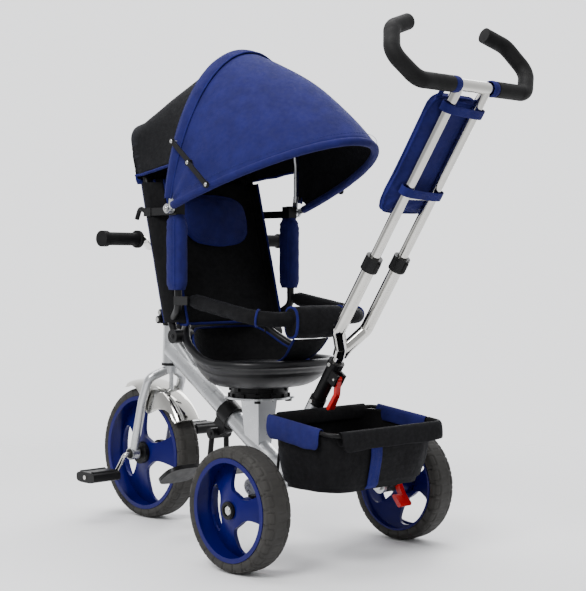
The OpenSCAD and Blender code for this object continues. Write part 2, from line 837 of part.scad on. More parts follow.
// Rim height over the tub's floor: low at the child's knees, high behind the back
function tub_rise(t) = 48 + 34 * smooth((0.15 - sin(t)) / 0.6) + 44 * smooth((-sin(t) - 0.3) / 0.6);
function tub_ring(level, shrink, lift) =
    [for (i = [0:tub_points - 1]) let (t = 360 * i / tub_points, k = 0.48 + 0.52 * pow(level, 0.42))
        [(tub_half_w * k - shrink) * rounded(cos(t), 0.8),
            seat_y + (tub_half_d * k - shrink) * rounded(sin(t), 0.8),
            tub_z + lift + (tub_rise(t) - lift) * level]];
module seat_tub() {
    color("dimgray") {
        skin([
            tub_ring(0, 0, 0), tub_ring(0.12, 0, 0), tub_ring(0.35, 0, 0), tub_ring(0.7, 0, 0),
            tub_ring(1, 0, 0), tub_ring(1, tub_wall, 0), tub_ring(0.7, tub_wall, 0),
            tub_ring(0.35, tub_wall, 2), tub_ring(0.12, tub_wall, 4), tub_ring(0, tub_wall, 4)]);
        both_sides() {
            x_bar(tub_half_w * 0.7, back_foot[0] - 9 - part_gap, back_foot[1], back_foot[2], 13);
            x_bar(tub_half_w * 0.7, back_foot[0] + 11, back_foot[1], back_foot[2], recline_pin_r);
        }
    }
}

cushion_z = tub_z + 7;
cushion_h = 36;
module seat_cushion() {
    rx = tub_half_w - 30;
    ry = tub_half_d - 38;
    color("black")
        skin([for (ring = [[0, 44, 0.8], [7, 26, 0.75], [17, 10, 0.75], [29, 6, 0.75], [cushion_h, 14, 0.75]])
            pad_ring(0, seat_y + 10, cushion_z + ring[0], rx - ring[1], ry - ring[1], ring[2], 36)]);
}

strap_y = seat_y + 66;
module crotch_strap() {
    color("midnightblue")
        translate([-22, strap_y, cushion_z + cushion_h + part_gap])
            cube([44, 5, 42]);
}

// ---------- Back rest ----------
back_foot = [back_tube_x - 6, seat_y - 104, flange_z + 128];
back_lean = 0.262;
function back_y(z) = seat_y - 124 - back_lean * (z - flange_z - 190);
back_top_z = pivot_z + 176;

module back_frame() {
    x = back_tube_x;
    color("silver")
        difference() {
            union() {
                tube_run([
                    back_foot,
                    [x, back_y(back_foot[2] + 60), back_foot[2] + 60],
                    [x, back_y(back_top_z), back_top_z],
                    [-x, back_y(back_top_z), back_top_z],
                    [-x, back_y(back_foot[2] + 60), back_foot[2] + 60],
                    flip_x(back_foot)], 30, back_tube_r);
                both_sides() {
                    tube_run(side_tube_pts, 24, back_tube_r);
                    x_bar(back_foot[0] - 9, back_foot[0] + 9, back_foot[1], back_foot[2], 15);
                    x_bar(hoop_pivot[0] - 8, hoop_pivot[0] + hoop_r + 2, hoop_pivot[1], hoop_pivot[2],
                        hoop_pin_r);
                    translate([hoop_pivot[0] + hoop_r + 1, pivot_y - 2, hoop_pivot[2] - 9])
                        cube([6, 45, 18]);
                }
            }
            both_sides() x_bar(100, 200, back_foot[1], back_foot[2], recline_pin_r + fit_gap);
        }
}
side_tube_pts = [
    back_foot + [3, -6, 34],
    [side_tube_x, pivot_y + 4, back_foot[2] + 60],
    [side_tube_x, pivot_y, pivot_z + 14]];
recline_pin_r = 5;

// Height levels of the upholstered back, from the seat up to the canopy
shell_levels = [0, 0.14, 0.3, 0.45, 0.6, 0.75, 0.9, 1];
shell_z0 = back_foot[2] + 26;
shell_z1 = pivot_z + 66;
shell_wing = 28;
// A point on the back's U-shaped section: u runs from the left wing round to the right wing
function shell_pt(level, u, inset) =
    let (z = mix(shell_z0, shell_z1, level),
        back = back_y(z) + back_tube_r + 1.5 + inset,
        wing = shell_wing,
        half = back_tube_x - back_tube_r - 2.5 - inset,
        s = abs(u),
        x = s < 0.6 ? half * rounded(sin(90 * s / 0.6), 0.9) : half - 3 * (s - 0.6),
        y = s < 0.6 ? back + 8 * pow(s / 0.6, 4) : back + 8 + (wing - 8) * (s - 0.6) / 0.4)
    [sign(u) * x, y, z];
shell_steps = [-1, -0.8, -0.66, -0.58, -0.46, -0.3, -0.15, 0, 0.15, 0.3, 0.46, 0.58, 0.66, 0.8, 1];
module back_shell() {
    color("black")
        shell(
            [for (level = shell_levels) [for (u = shell_steps) shell_pt(level, u, 0)]],
            [for (level = shell_levels) [for (u = shell_steps) shell_pt(level, u, 6)]]);
}

headrest_z = pivot_z - 20;
module headrest_pad() {
    rake = atan(back_lean);
    color("royalblue")
        translate([0, back_y(headrest_z) + back_tube_r + 1.5 + 6 + 13 + part_gap, headrest_z])
            rotate([rake + 90, 0, 0])
                skin([
                    pad_ring(0, 0, -12, 84, 50, 0.6, 32), pad_ring(0, 0, -4, 94, 60, 0.6, 32),
                    pad_ring(0, 0, 5, 94, 60, 0.6, 32), pad_ring(0, 0, 12, 80, 46, 0.6, 32)]);
}

sleeve_z0 = back_foot[2] + 104;
module tube_sleeves() {
    color("royalblue")
        both_sides()
            difference() {
                translate([side_tube_x, pivot_y + 0, sleeve_z0])
                    linear_extrude(pivot_z - 14 - sleeve_z0)
                        polygon([for (p = pad_ring(0, 0, 0, 12.5, 24, 0.9, 32)) [p[0], p[1]]]);
                tube_run(side_tube_pts, 24, back_tube_r + 0.1);
            }
}

bracket_z = pivot_z - 4;
module canopy_brackets() {
    y1 = back_y(bracket_z);
    color("black")
        both_sides()
            difference() {
                union() {
                    translate([back_tube_x - 13, y1 - 12, bracket_z - 9])
                        cube([26, 24, 18]);
                    translate([back_tube_x + 5, y1 - 4, bracket_z - 8])
                        cube([7, pivot_y - y1 + 12, 16]);
                    translate([side_tube_x - 12, pivot_y - 11, bracket_z - 9])
                        cube([24, 22, 26]);
                    tube_run([
                        [back_tube_x + 8, y1 - 8, bracket_z],
                        [back_tube_x + 8, y1 - 30, bracket_z + 10],
                        [back_tube_x + 8, y1 - 42, bracket_z - 14]], 9, 5);
                }
                tube_run([
                    [back_tube_x, back_y(bracket_z - 60), bracket_z - 60],
                    [back_tube_x, back_y(bracket_z + 60), bracket_z + 60]], 30, back_tube_r);
                rod([side_tube_x, pivot_y + 4, back_foot[2] + 60], [side_tube_x, pivot_y, pivot_z + 14], back_tube_r);
                x_bar(side_tube_x, front_foot_x, pivot_y, pivot_z, pivot_pin_r + fit_gap);
            }
}

// ---------- Canopy ----------
mid_foot_x = side_tube_x + 16;
front_foot_x = mid_foot_x + 9;
front_lean = mid_bow_lean + visor_angle;
// A point on a bow plane: lean from vertical, length to the crest, half width, and s along the arch
function bow_pt(lean, crest, half, s, power = 1) =
    let (h = crest * rounded(sin(s), power))
    [half * rounded(cos(s), power), pivot_y + h * sin(lean), pivot_z + h * cos(lean)];
bow_corners = 12;
bow_start = 4;
bow_bend = 60;
module bow(lean, crest, half) {
    span = 180 - 2 * bow_start;
    tube_run([for (i = [0:bow_corners]) bow_pt(lean, crest, half, bow_start + span * i / bow_corners)],
        bow_bend, bow_r);
}

pivot_pin_r = 4;
module bow_foot(x, lean, bore_r) {
    difference() {
        union() {
            x_bar(x - 2.5, x + 2.5, pivot_y, pivot_z, 10);
            translate([x - 2.5, pivot_y, pivot_z])
                rotate([-lean, 0, 0]) translate([0.4, -6.5, 0]) cube([4.2, 13, 36]);
        }
        if (bore_r > 0) x_bar(x - 9, x + 9, pivot_y, pivot_z, bore_r);
    }
}

stay_r_in = 138;
stay_len = stay_r_in * sin(visor_angle / 2);
stay_x = front_foot_x - 1;
stay_pin_r = 2.6;
function stay_pt(lean) = [0, pivot_y + stay_r_in * sin(lean), pivot_z + stay_r_in * cos(lean)];
function bow_x(crest, half) = half * sqrt(1 - pow(stay_r_in / crest, 2));

module canopy_bow_mid() {
    p = stay_pt(mid_bow_lean);
    color("silver") {
        bow(mid_bow_lean, mid_bow_len, mid_foot_x);
        both_sides() bow_foot(mid_foot_x, mid_bow_lean, 0);
        // The pivot pin is fixed in this foot and turns in the bracket; the front bow turns on it
        both_sides() {
            x_bar(side_tube_x + back_tube_r + 0.8, front_foot_x + 5, pivot_y, pivot_z, pivot_pin_r);
            x_bar(front_foot_x + 4, front_foot_x + 6, pivot_y, pivot_z, 7);
        }
        both_sides() x_bar(bow_x(mid_bow_len, mid_foot_x) - 1.5, stay_x + 5, p[1], p[2], stay_pin_r);
    }
}

module canopy_bow_front() {
    color("silver") {
        bow(front_lean, front_bow_len, front_foot_x);
        both_sides() bow_foot(front_foot_x, front_lean, pivot_pin_r + fit_gap);
    }
}

// One arm of the folding stay, between two points in its own plane
module stay_arm(a, b, x0, x1, bore_a, bore_b) {
    difference() {
        union() {
            x_bar(x0, x1, a[1], a[2], 7);
            x_bar(x0, x1, b[1], b[2], 7);
            hull() {
                x_bar(x0, x1, a[1], a[2], 5);
                x_bar(x0, x1, b[1], b[2], 5);
            }
        }
        if (bore_a > 0) x_bar(x0 - 5, x1 + 5, a[1], a[2], bore_a);
        if (bore_b > 0) x_bar(x0 - 5, x1 + 5, b[1], b[2], bore_b);
    }
}

stay_a = stay_pt(mid_bow_lean);
stay_c = stay_pt(front_lean);
stay_b = (stay_a + stay_c) / 2;
module stay_upper() {
    color("black")
        both_sides() {
            stay_arm(stay_a, stay_b, stay_x, stay_x + 4, stay_pin_r + fit_gap, 0);
            x_bar(stay_x + 3, stay_x + 9.5, stay_b[1], stay_b[2], stay_pin_r);
        }
}

module stay_lower() {
    color("black")
        both_sides()
            stay_arm(stay_b, stay_c, stay_x + 5, stay_x + 9, stay_pin_r + fit_gap, 0);
}

cloth_off = bow_r + 2.2;
cloth_split = 1.5;
visor_rows = 7;
arch_cols = 22;
visor_round = 0.42;
// Taut cloth between the bows: partly the straight line, partly the arc about the pivot
function visor_pt(row, col, off) =
    let (t = row / (visor_rows - 1), s = 6 + 168 * col / arch_cols,
        lean0 = mid_bow_lean + cloth_split, lean1 = front_lean - 1.2,
        a = bow_pt(lean0, mid_bow_len + off, mid_foot_x + off, s),
        b = bow_pt(lean1, front_bow_len + off, front_foot_x + off, s),
        c = bow_pt(mix(lean0, lean1, t), mix(mid_bow_len, front_bow_len, t) + off,
            mix(mid_foot_x, front_foot_x, t) + off, s))
    mix(mix(a, b, t), c, visor_round);
module canopy_visor() {
    color("royalblue")
        shell(
            [for (row = [0:visor_rows - 1]) [for (col = [0:arch_cols]) visor_pt(row, col, cloth_off + canopy_cloth)]],
            [for (row = [0:visor_rows - 1]) [for (col = [0:arch_cols]) visor_pt(row, col, cloth_off)]]);
}

rear_rows = 5;
frame_corner = 30;
// A point on a U that runs up one back tube, over the top and down the other, off mm outside it
function frame_u(t, off) =
    let (low = pivot_z + 76, half = back_tube_x + off, top = back_top_z + off, c = frame_corner + off,
        up = top - c - low, arc = c * PI / 2, across = half - c,
        s = abs(2 * t - 1) * (up + arc + across),
        a = max(0, min(90, (s - across) / arc * 90)),
        x = s < across ? s : across + c * sin(a),
        z = top - c + c * cos(a) - max(0, s - across - arc))
    [(t < 0.5 ? 1 : -1) * x, back_y(z), z];
function rear_pt(row, col, off) =
    let (t = row / (rear_rows - 1), k = col / arch_cols,
        a = bow_pt(mid_bow_lean - cloth_split, mid_bow_len + off, mid_foot_x + off, 16 + 148 * k),
        b = frame_u(k, back_tube_r + off - bow_r),
        swell = 10 * 4 * t * (1 - t) * sin(180 * k))
    a * (1 - t) + b * t + [0, -swell * 0.8, swell * 0.6];
// The flat drop behind the back tubes, down to the top of the upholstery
function drop_pt(level, col, off) =
    let (p = rear_pt(rear_rows - 1, col, off), z = mix(p[2], pivot_z + 62, level))
    [p[0], back_y(z) - back_tube_r - off, z];
function rear_grid(off) = concat(
    [for (level = [1, 0.5, 0]) [for (col = [0:arch_cols]) drop_pt(level, col, off)]],
    [for (row = [rear_rows - 1:-1:0]) [for (col = [0:arch_cols]) rear_pt(row, col, off)]]);
module canopy_rear() {
    color("black") shell(rear_grid(cloth_off + canopy_cloth), rear_grid(cloth_off));
}

// ---------- Safety bar ----------
hoop_pivot = [side_tube_x - 14, pivot_y + 34, flange_z + 204];
hoop_pin_r = 5;
hoop_r = 15;
hoop_front_y = seat_y + 172;
hoop_front_z = hoop_pivot[2] - 34;
module safety_hoop() {
    color("black") {
        difference() {
            tube_run([
                hoop_pivot,
                [hoop_pivot[0] + 4, hoop_front_y, hoop_front_z],
                [-hoop_pivot[0] - 4, hoop_front_y, hoop_front_z],
                flip_x(hoop_pivot)], 60, hoop_r);
            both_sides()
                x_bar(hoop_pivot[0] - 30, hoop_pivot[0] + 30, hoop_pivot[1], hoop_pivot[2],
                    hoop_pin_r + fit_gap);
        }
    }
}

bumper_w = 150;
module bumper_pad() {
    color("black")
        difference() {
            translate([0, hoop_front_y, hoop_front_z - 6])
                rotate([90, 0, 90])
                    linear_extrude(bumper_w, center = true)
                        polygon([for (p = pad_ring(0, 0, 0, 20, 34, 0.7, 32)) [p[0], p[1]]]);
            x_bar(-100, 100, hoop_front_y, hoop_front_z, hoop_r);
        }
}

// ---------- Push handle ----------
clamp_top_t = 105;
fork_t = 128;
straight_t = 200;
collar_t = 352;
upper_foot_t = 228;
bore_foot_t = 208;
cross_rod_t = 488;

module handle_clamp() {
    color("black")
        difference() {
            union() {
                rod(on_handle(0.5), on_handle(clamp_top_t), stem_r + 3.6);
                rod(on_handle(0.5), on_handle(14), stem_r + 6);
                rod(on_handle(clamp_top_t - 12), on_handle(clamp_top_t), stem_r + 6);
                translate(lever_pin)
                    rotate([-handle_tilt, 0, 0])
                        translate([-lug_half_w, -18, -14]) cube([2 * lug_half_w, 24, 26]);
            }
            rod(on_handle(-5), on_handle(clamp_top_t + 5), stem_r);
            translate(lever_pin)
                rotate([-handle_tilt, 0, 0])
                    translate([-lever_half_w - part_gap, -7, -40])
                        cube([2 * (lever_half_w + part_gap), 40, 90]);
            x_bar(-30, 30, lever_pin[1], lever_pin[2], 2.5);
        }
}
lug_half_w = 12;
lever_half_w = 6;
lever_pin = on_handle(78, 0, -23);
lever_knee = on_handle(50, 0, -37);
lever_tip = on_handle(18, 0, -38);

module clamp_rivets() {
    color("silver") {
        x_bar(-lug_half_w - 2, lug_half_w + 2, lever_pin[1], lever_pin[2], 2.5);
        both_sides() {
            translate(on_handle(7)) rotate([0, 90, 0]) translate([0, 0, stem_r + 6]) cylinder(h = 3, r = 4);
            translate(on_handle(99)) rotate([0, 90, 0]) translate([0, 0, stem_r + 6]) cylinder(h = 3, r = 4);
        }
    }
}

module lock_lever() {
    color("red")
        difference() {
            union() {
                x_bar(-lever_half_w, lever_half_w, lever_pin[1], lever_pin[2], 5.4);
                hull() {
                    x_bar(-lever_half_w, lever_half_w, lever_pin[1], lever_pin[2], 4);
                    x_bar(-lever_half_w, lever_half_w, lever_knee[1], lever_knee[2], 4);
                }
                hull() {
                    x_bar(-lever_half_w, lever_half_w, lever_knee[1], lever_knee[2], 4);
                    x_bar(-lever_half_w - 2, lever_half_w + 2, lever_tip[1], lever_tip[2], 4.5);
                }
            }
            x_bar(-30, 30, lever_pin[1], lever_pin[2], 2.5 + fit_gap);
        }
}

module handle_lower() {
    color("gainsboro")
        difference() {
            union() {
                rod(on_handle(-78), on_handle(fork_t + 8), stem_r);
                both_sides()
                    tube_run([
                        on_handle(fork_t - 6, 3), on_handle(fork_t + 12, 8),
                        on_handle(straight_t - 18, tube_half_gap),
                        on_handle(collar_t, tube_half_gap)], 20, lower_r);
            }
            both_sides()
                rod(on_handle(bore_foot_t, tube_half_gap), on_handle(collar_t + 5, tube_half_gap), upper_r + fit_gap);
        }
}

module handle_collars() {
    color("black")
        both_sides()
            difference() {
                union() {
                    rod(on_handle(collar_t - 26, tube_half_gap), on_handle(collar_t + 4, tube_half_gap), lower_r + 4);
                    translate(on_handle(collar_t - 11, tube_half_gap, -lower_r - 3))
                        rotate([-handle_tilt, 0, 0]) cylinder(h = 20, r = 5, center = true);
                }
                rod(on_handle(collar_t - 60, tube_half_gap), on_handle(collar_t, tube_half_gap), lower_r);
                rod(on_handle(collar_t - 1, tube_half_gap), on_handle(collar_t + 9, tube_half_gap), upper_r + 0.3);
            }
}

horn_up = [0, -0.49, 0.872];
function horn_pt(x, up) = on_handle(handle_len, x) + horn_up * up;
horn_pts = [horn_pt(40, 0), horn_pt(152, 0), horn_pt(190, 52), horn_pt(160, 108), horn_pt(108, 128)];
horn_bend = 32;
grip_start_x = 62;
module handle_upper() {
    color("gainsboro") {
        both_sides()
            difference() {
                rod(on_handle(upper_foot_t, tube_half_gap), on_handle(handle_len, tube_half_gap), upper_r);
                rod(on_handle(upper_foot_t - 5, tube_half_gap),
                    on_handle(handle_len - 20, tube_half_gap), upper_r - 1.5);
            }
        translate(on_handle(handle_len)) rotate([0, 90, 0])
            cylinder(h = 2 * tube_half_gap + 2, r = stem_r, center = true);
        both_sides() tube_run(concat([for (i = [0:3]) horn_pts[i]], [horn_pt(120, 123.4)]), horn_bend, stem_r);
        translate(on_handle(cross_rod_t)) rotate([0, 90, 0])
            cylinder(h = 2 * tube_half_gap, r = 3.5, center = true);
    }
}

module push_grips() {
    color("dimgray")
        both_sides()
            difference() {
                tube_run(concat([horn_pt(grip_start_x, 0)], [for (i = [1:4]) horn_pts[i]]), horn_bend, grip_r);
                tube_run(concat([for (i = [0:3]) horn_pts[i]], [horn_pt(120, 123.4)]), horn_bend, stem_r);
            }
}

bag_t0 = 440;
bag_t1 = 694;
bag_half_w = 70;
module handle_bag() {
    color("royalblue") {
        translate(on_handle((bag_t0 + bag_t1) / 2, 0, upper_r + 2 + 14))
            rotate([-handle_tilt, 0, 0])
                rotate([90, 0, 0])
                    skin([
                        pad_ring(0, 0, -13, bag_half_w - 2, (bag_t1 - bag_t0) / 2 - 2, 0.25, 40),
                        pad_ring(0, 0, 4, bag_half_w, (bag_t1 - bag_t0) / 2, 0.25, 40),
                        pad_ring(0, 0, 13, bag_half_w - 8, (bag_t1 - bag_t0) / 2 - 10, 0.3, 40)]);
        both_sides()
            translate(on_handle(handle_len))
                rotate([0, 90, 0])
                    difference() {
                        translate([0, 0, grip_start_x - 12]) cylinder(h = 11, r = stem_r + 3);
                        translate([0, 0, 0]) cylinder(h = 200, r = stem_r + 0.1);
                    }
    }
}

main_frame();
stub_axles();
axle_nuts();
headset_cups();
turntable_base();
flange_nuts();
footrest_clamp();
footrest();
basket_frame();
basket_bag();
brake_housings();
on_side(1) brake_pedal();  // brake_pedal_left
on_side(-1) brake_pedal();  // brake_pedal_right
on_side(1) rear_rim();  // rear_rim_left
on_side(1) rear_tyre();  // rear_tyre_left
on_side(1) rear_bush();  // rear_bush_left
on_side(1) hub_cap();  // hub_cap_left
on_side(-1) rear_rim();  // rear_rim_right
on_side(-1) rear_tyre();  // rear_tyre_right
on_side(-1) rear_bush();  // rear_bush_right
on_side(-1) hub_cap();  // hub_cap_right
fork();
mudguard();
stem_clamp();
stem_cover();
stem_bolts();
handlebar();
handlebar_grips();
fork_bushes();
front_rim();
front_tyre();
crank_axle();
hub_clutch();
pedal_left();
pedal_right();
turntable_top();
seat_tub();
seat_cushion();
crotch_strap();
back_frame();
back_shell();
headrest_pad();
tube_sleeves();
canopy_brackets();
canopy_rear();
canopy_bow_mid();
canopy_bow_front();
canopy_visor();
stay_upper();
stay_lower();
safety_hoop();
bumper_pad();
handle_clamp();
clamp_rivets();
lock_lever();
handle_lower();
handle_collars();
handle_upper();
push_grips();
handle_bag();
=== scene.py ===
import json
import math
import bpy
import bmesh
import numpy as np
from mathutils import Vector, Matrix, noise


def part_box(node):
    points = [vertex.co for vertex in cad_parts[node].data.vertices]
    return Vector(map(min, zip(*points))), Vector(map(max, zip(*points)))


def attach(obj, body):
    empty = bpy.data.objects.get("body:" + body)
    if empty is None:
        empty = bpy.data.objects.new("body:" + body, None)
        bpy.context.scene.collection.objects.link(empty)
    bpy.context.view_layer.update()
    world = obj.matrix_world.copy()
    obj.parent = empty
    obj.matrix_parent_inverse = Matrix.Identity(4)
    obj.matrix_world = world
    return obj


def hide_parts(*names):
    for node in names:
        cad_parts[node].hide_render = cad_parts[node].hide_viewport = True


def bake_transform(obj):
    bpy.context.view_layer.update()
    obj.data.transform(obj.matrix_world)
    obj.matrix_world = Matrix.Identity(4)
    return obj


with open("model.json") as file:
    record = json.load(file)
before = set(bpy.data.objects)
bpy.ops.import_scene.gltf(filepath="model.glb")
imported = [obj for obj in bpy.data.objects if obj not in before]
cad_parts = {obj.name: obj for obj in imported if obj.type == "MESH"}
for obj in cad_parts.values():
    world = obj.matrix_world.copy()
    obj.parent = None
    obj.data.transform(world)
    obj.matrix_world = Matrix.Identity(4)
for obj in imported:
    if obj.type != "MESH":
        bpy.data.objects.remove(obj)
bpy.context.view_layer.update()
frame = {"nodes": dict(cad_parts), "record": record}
scene = bpy.context.scene
rad = math.radians


# ---------- camera ----------
cam = bpy.data.objects.new("photo_camera", bpy.data.cameras.new("photo_camera"))
scene.collection.objects.link(cam)
cam.data.sensor_fit = "HORIZONTAL"
cam.data.sensor_width = 36.0
cam.data.lens = 84.02
cam.data.clip_start = 0.05
cam.data.clip_end = 200.0
cam.location = (1.9363, 2.1149, 0.5885)
cam.rotation_mode = "QUATERNION"
cam.rotation_quaternion = Vector((-0.68753, -0.72575, -0.02436)).to_track_quat("-Z", "Y")
scene.camera = cam


# ---------- places, in millimetres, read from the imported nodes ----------
def lo(node):
    return np.array(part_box(node)[0], float) * 1000


def hi(node):
    return np.array(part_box(node)[1], float) * 1000


def mid(node):
    return (lo(node) + hi(node)) / 2


rear_x, rear_y, rear_r = mid("rear_tyre_left")
front_y, front_r = mid("front_tyre")[1:]
seat_y = float(mid("turntable_base")[1])
flange_z = float(lo("turntable_base")[2])
pivot_y = seat_y - 76.0
pivot_z = float(lo("canopy_bow_mid")[2]) + 10.0
tub_z = float(lo("seat_tub")[2])
mid_lean, mid_len, mid_half = 7.0, 328.0, 176.0
front_lean, front_len, front_half = 71.5, 392.0, 185.0
back_tube_x, back_tube_r, back_lean = 148.0, 8.0, 0.262
back_top_z = pivot_z + 176
side_x = 160.0
handle_tilt = rad(33.9)
handle_dir = np.array([0, math.sin(handle_tilt), math.cos(handle_tilt)])
handle_front = np.array([0, -math.cos(handle_tilt), math.sin(handle_tilt)])


def V(x, y, z):
    return np.array([x, y, z], float)


def mixed(a, b, t):
    return a + (b - a) * t


def smooth(t):
    t = min(1.0, max(0.0, t))
    return t * t * (3 - 2 * t)


def curve_sign(c, power):
    return math.copysign(abs(c) ** power, c)


def wob(x, y, z, scale=1.0):
    return noise.noise(Vector((x * scale, y * scale, z * scale)))


def on_handle(t, x=0.0, f=0.0):
    return V(x, rear_y - 27, 303) + handle_dir * t + handle_front * f


def back_y(z):
    return seat_y - 124 - back_lean * (z - flange_z - 190)


def bow_pt(lean, crest, half, s):
    h = crest * math.sin(rad(s))
    return V(half * math.cos(rad(s)), pivot_y + h * math.sin(rad(lean)), pivot_z + h * math.cos(rad(lean)))


# ---------- materials ----------
class Mat:
    """A Principled material with object-space texture nodes."""

    def __init__(self, name, colour, rough, metal=0.0):
        self.mat = bpy.data.materials.new(name)
        self.mat.use_nodes = True
        self.nt = self.mat.node_tree
        self.n = self.nt.nodes
        self.bsdf = self.n["Principled BSDF"]
        self.bsdf.inputs["Base Color"].default_value = (*colour, 1)
        self.bsdf.inputs["Roughness"].default_value = rough
        self.bsdf.inputs["Metallic"].default_value = metal
        self.colour = colour
        self.coord = self.n.new("ShaderNodeTexCoord").outputs["Object"]
        self.normal = None

    def link(self, a, b):
        self.nt.links.new(a, b)

    def noise(self, scale, detail=3.0, rough=0.5, distortion=0.0):
        t = self.n.new("ShaderNodeTexNoise")
        t.inputs["Scale"].default_value = scale
        t.inputs["Detail"].default_value = detail
        t.inputs["Roughness"].default_value = rough
        t.inputs["Distortion"].default_value = distortion
        self.link(self.coord, t.inputs["Vector"])
        return t.outputs["Fac"]

    def wave(self, axis, scale, distortion=0.0):
        t = self.n.new("ShaderNodeTexWave")
        t.bands_direction = axis
        t.inputs["Scale"].default_value = scale
        t.inputs["Distortion"].default_value = distortion
        self.link(self.coord, t.inputs["Vector"])
        return t.outputs["Fac"]

    def math(self, op, a, b):
        m = self.n.new("ShaderNodeMath")
        m.operation = op
        for i, v in enumerate((a, b)):
            if isinstance(v, (int, float)):
                m.inputs[i].default_value = v
            else:
                self.link(v, m.inputs[i])
        return m.outputs[0]

    def bump(self, height, distance, strength=1.0):
        b = self.n.new("ShaderNodeBump")
        b.inputs["Distance"].default_value = distance
        b.inputs["Strength"].default_value = strength
        self.link(height, b.inputs["Height"])
        if self.normal is not None:
            self.link(self.normal, b.inputs["Normal"])
        self.normal = b.outputs["Normal"]
        self.link(self.normal, self.bsdf.inputs["Normal"])

    def ramp(self, fac, low, high, socket, colour=False):
        r = self.n.new("ShaderNodeMapRange")
        if colour:
            r = self.n.new("ShaderNodeValToRGB")
            r.color_ramp.elements[0].position = 0.3
            r.color_ramp.elements[1].position = 0.7
            r.color_ramp.elements[0].color = (*low, 1)
            r.color_ramp.elements[1].color = (*high, 1)
            self.link(fac, r.inputs["Fac"])
            self.link(r.outputs["Color"], self.bsdf.inputs[socket])
            return
        r.inputs["From Min"].default_value = 0.3
        r.inputs["From Max"].default_value = 0.7
        r.inputs["To Min"].default_value = low
        r.inputs["To Max"].default_value = high
        self.link(fac, r.inputs["Value"])
        self.link(r.outputs["Result"], self.bsdf.inputs[socket])

    def tint(self, fac, spread):
        c = self.colour
        self.ramp(fac, [v * (1 - spread) for v in c], [min(1, v * (1 + spread)) for v in c],
                  "Base Color", colour=True)


def fabric(name, colour, spread=0.22, rough=0.82, thread=330.0, crease=0.0016, sheen=0.05, sheen_tint=None):
    m = Mat(name, colour, rough)
    m.bsdf.inputs["Sheen Weight"].default_value = sheen
    m.bsdf.inputs["Sheen Roughness"].default_value = 0.45
    m.bsdf.inputs["Sheen Tint"].default_value = (*(sheen_tint or (0.5, 0.55, 0.8)), 1)
    m.bsdf.inputs["Specular IOR Level"].default_value = 0.14
    m.tint(m.noise(34.0, 4.0), spread)
    m.ramp(m.noise(120.0, 2.0), rough - 0.08, rough + 0.08, "Roughness")
    m.bump(m.noise(17.0, 3.0, 0.5, 0.6), crease, 0.55)
    cloth = m.math("ADD", m.math("ADD", m.wave("X", thread), m.wave("Y", thread)), m.wave("Z", thread))
    m.bump(cloth, 0.00012, 0.6)
    return m.mat


def plastic(name, colour, rough, spread=0.08, grain=900.0, depth=0.00008, coat=0.0, shine=0.3):
    m = Mat(name, colour, rough)
    m.bsdf.inputs["Specular IOR Level"].default_value = shine
    m.bsdf.inputs["Coat Weight"].default_value = coat
    m.bsdf.inputs["Coat Roughness"].default_value = 0.12
    m.tint(m.noise(18.0, 4.0), spread)
    m.ramp(m.noise(60.0, 5.0), rough - 0.05, rough + 0.09, "Roughness")
    m.bump(m.noise(grain, 2.0), depth, 0.7)
    m.bump(m.noise(9.0, 1.0), 0.0006, 0.25)
    return m.mat


def metal(name, colour, rough, spread=0.06, speck=2200.0, depth=0.00003, metallic=1.0, coat=0.0):
    m = Mat(name, colour, rough, metallic)
    m.bsdf.inputs["Coat Weight"].default_value = coat
    m.bsdf.inputs["Coat Roughness"].default_value = 0.08
    m.bsdf.inputs["Specular IOR Level"].default_value = 0.5 if metallic > 0.5 else 0.25
    m.tint(m.noise(26.0, 5.0), spread)
    m.ramp(m.noise(75.0, 5.0, 0.6), max(0.03, rough - 0.05), rough + 0.07, "Roughness")
    m.bump(m.noise(speck, 2.0), depth, 0.5)
    m.bump(m.noise(14.0, 2.0), 0.0004, 0.15)
    return m.mat


BLUE = (0.0098, 0.0108, 0.084)
SHEEN = (0.3, 0.34, 0.8)
M = {
    "blue_fabric": fabric("blue_woven", BLUE, 0.16, sheen=0.08, sheen_tint=SHEEN),
    "blue_trim": fabric("blue_piping", (0.009, 0.0105, 0.1), 0.15, thread=700.0, crease=0.0004, sheen_tint=SHEEN),
    "black_fabric": fabric("black_woven", (0.0032, 0.0032, 0.0037), 0.3, crease=0.002, sheen=0.02),
    "lining": fabric("black_lining", (0.003, 0.003, 0.0045), 0.3, crease=0.002, sheen=0.02),
    "thread": fabric("blue_thread", (0.008, 0.012, 0.085), 0.2, thread=1500.0, crease=0.0001),
    "dark_thread": fabric("dark_thread", (0.009, 0.009, 0.01), 0.2, thread=1500.0, crease=0.0001),
    "silver_frame": metal("silver_paint", (0.5, 0.51, 0.52), 0.3, 0.06, metallic=0.9, coat=0.2),
    "chrome": metal("chrome_plate", (0.56, 0.55, 0.52), 0.06, 0.04, depth=0.00001),
    "bright_steel": metal("zinc_steel", (0.52, 0.52, 0.5), 0.26, 0.1),
    "black_plastic": plastic("black_moulded", (0.0042, 0.0042, 0.0046), 0.4, 0.2, coat=0.02, shine=0.17),
    "black_steel": metal("black_lacquer", (0.005, 0.005, 0.0055), 0.34, 0.2, metallic=0.1, coat=0.04),
    "grey_shell": plastic("gloss_charcoal", (0.006, 0.006, 0.007), 0.36, 0.15, depth=0.00001, shine=0.26),
    "blue_rim": plastic("gloss_blue", (0.0016, 0.0012, 0.084), 0.34, 0.1, depth=0.00001, shine=0.17),
    "red_plastic": plastic("gloss_red", (0.5, 0.005, 0.005), 0.27, 0.08, coat=0.2),
    "black_rubber": plastic("foam_rubber", (0.0042, 0.0042, 0.0045), 0.68, 0.2, grain=420.0, depth=0.0004, shine=0.2),
    "grey_tyre": plastic("tyre_rubber", (0.027, 0.0255, 0.0235), 0.64, 0.16, grain=500.0, depth=0.0002, shine=0.25),
}
slots = {s["node"]: s["material_slot"] for s in frame["record"]["subparts"]}
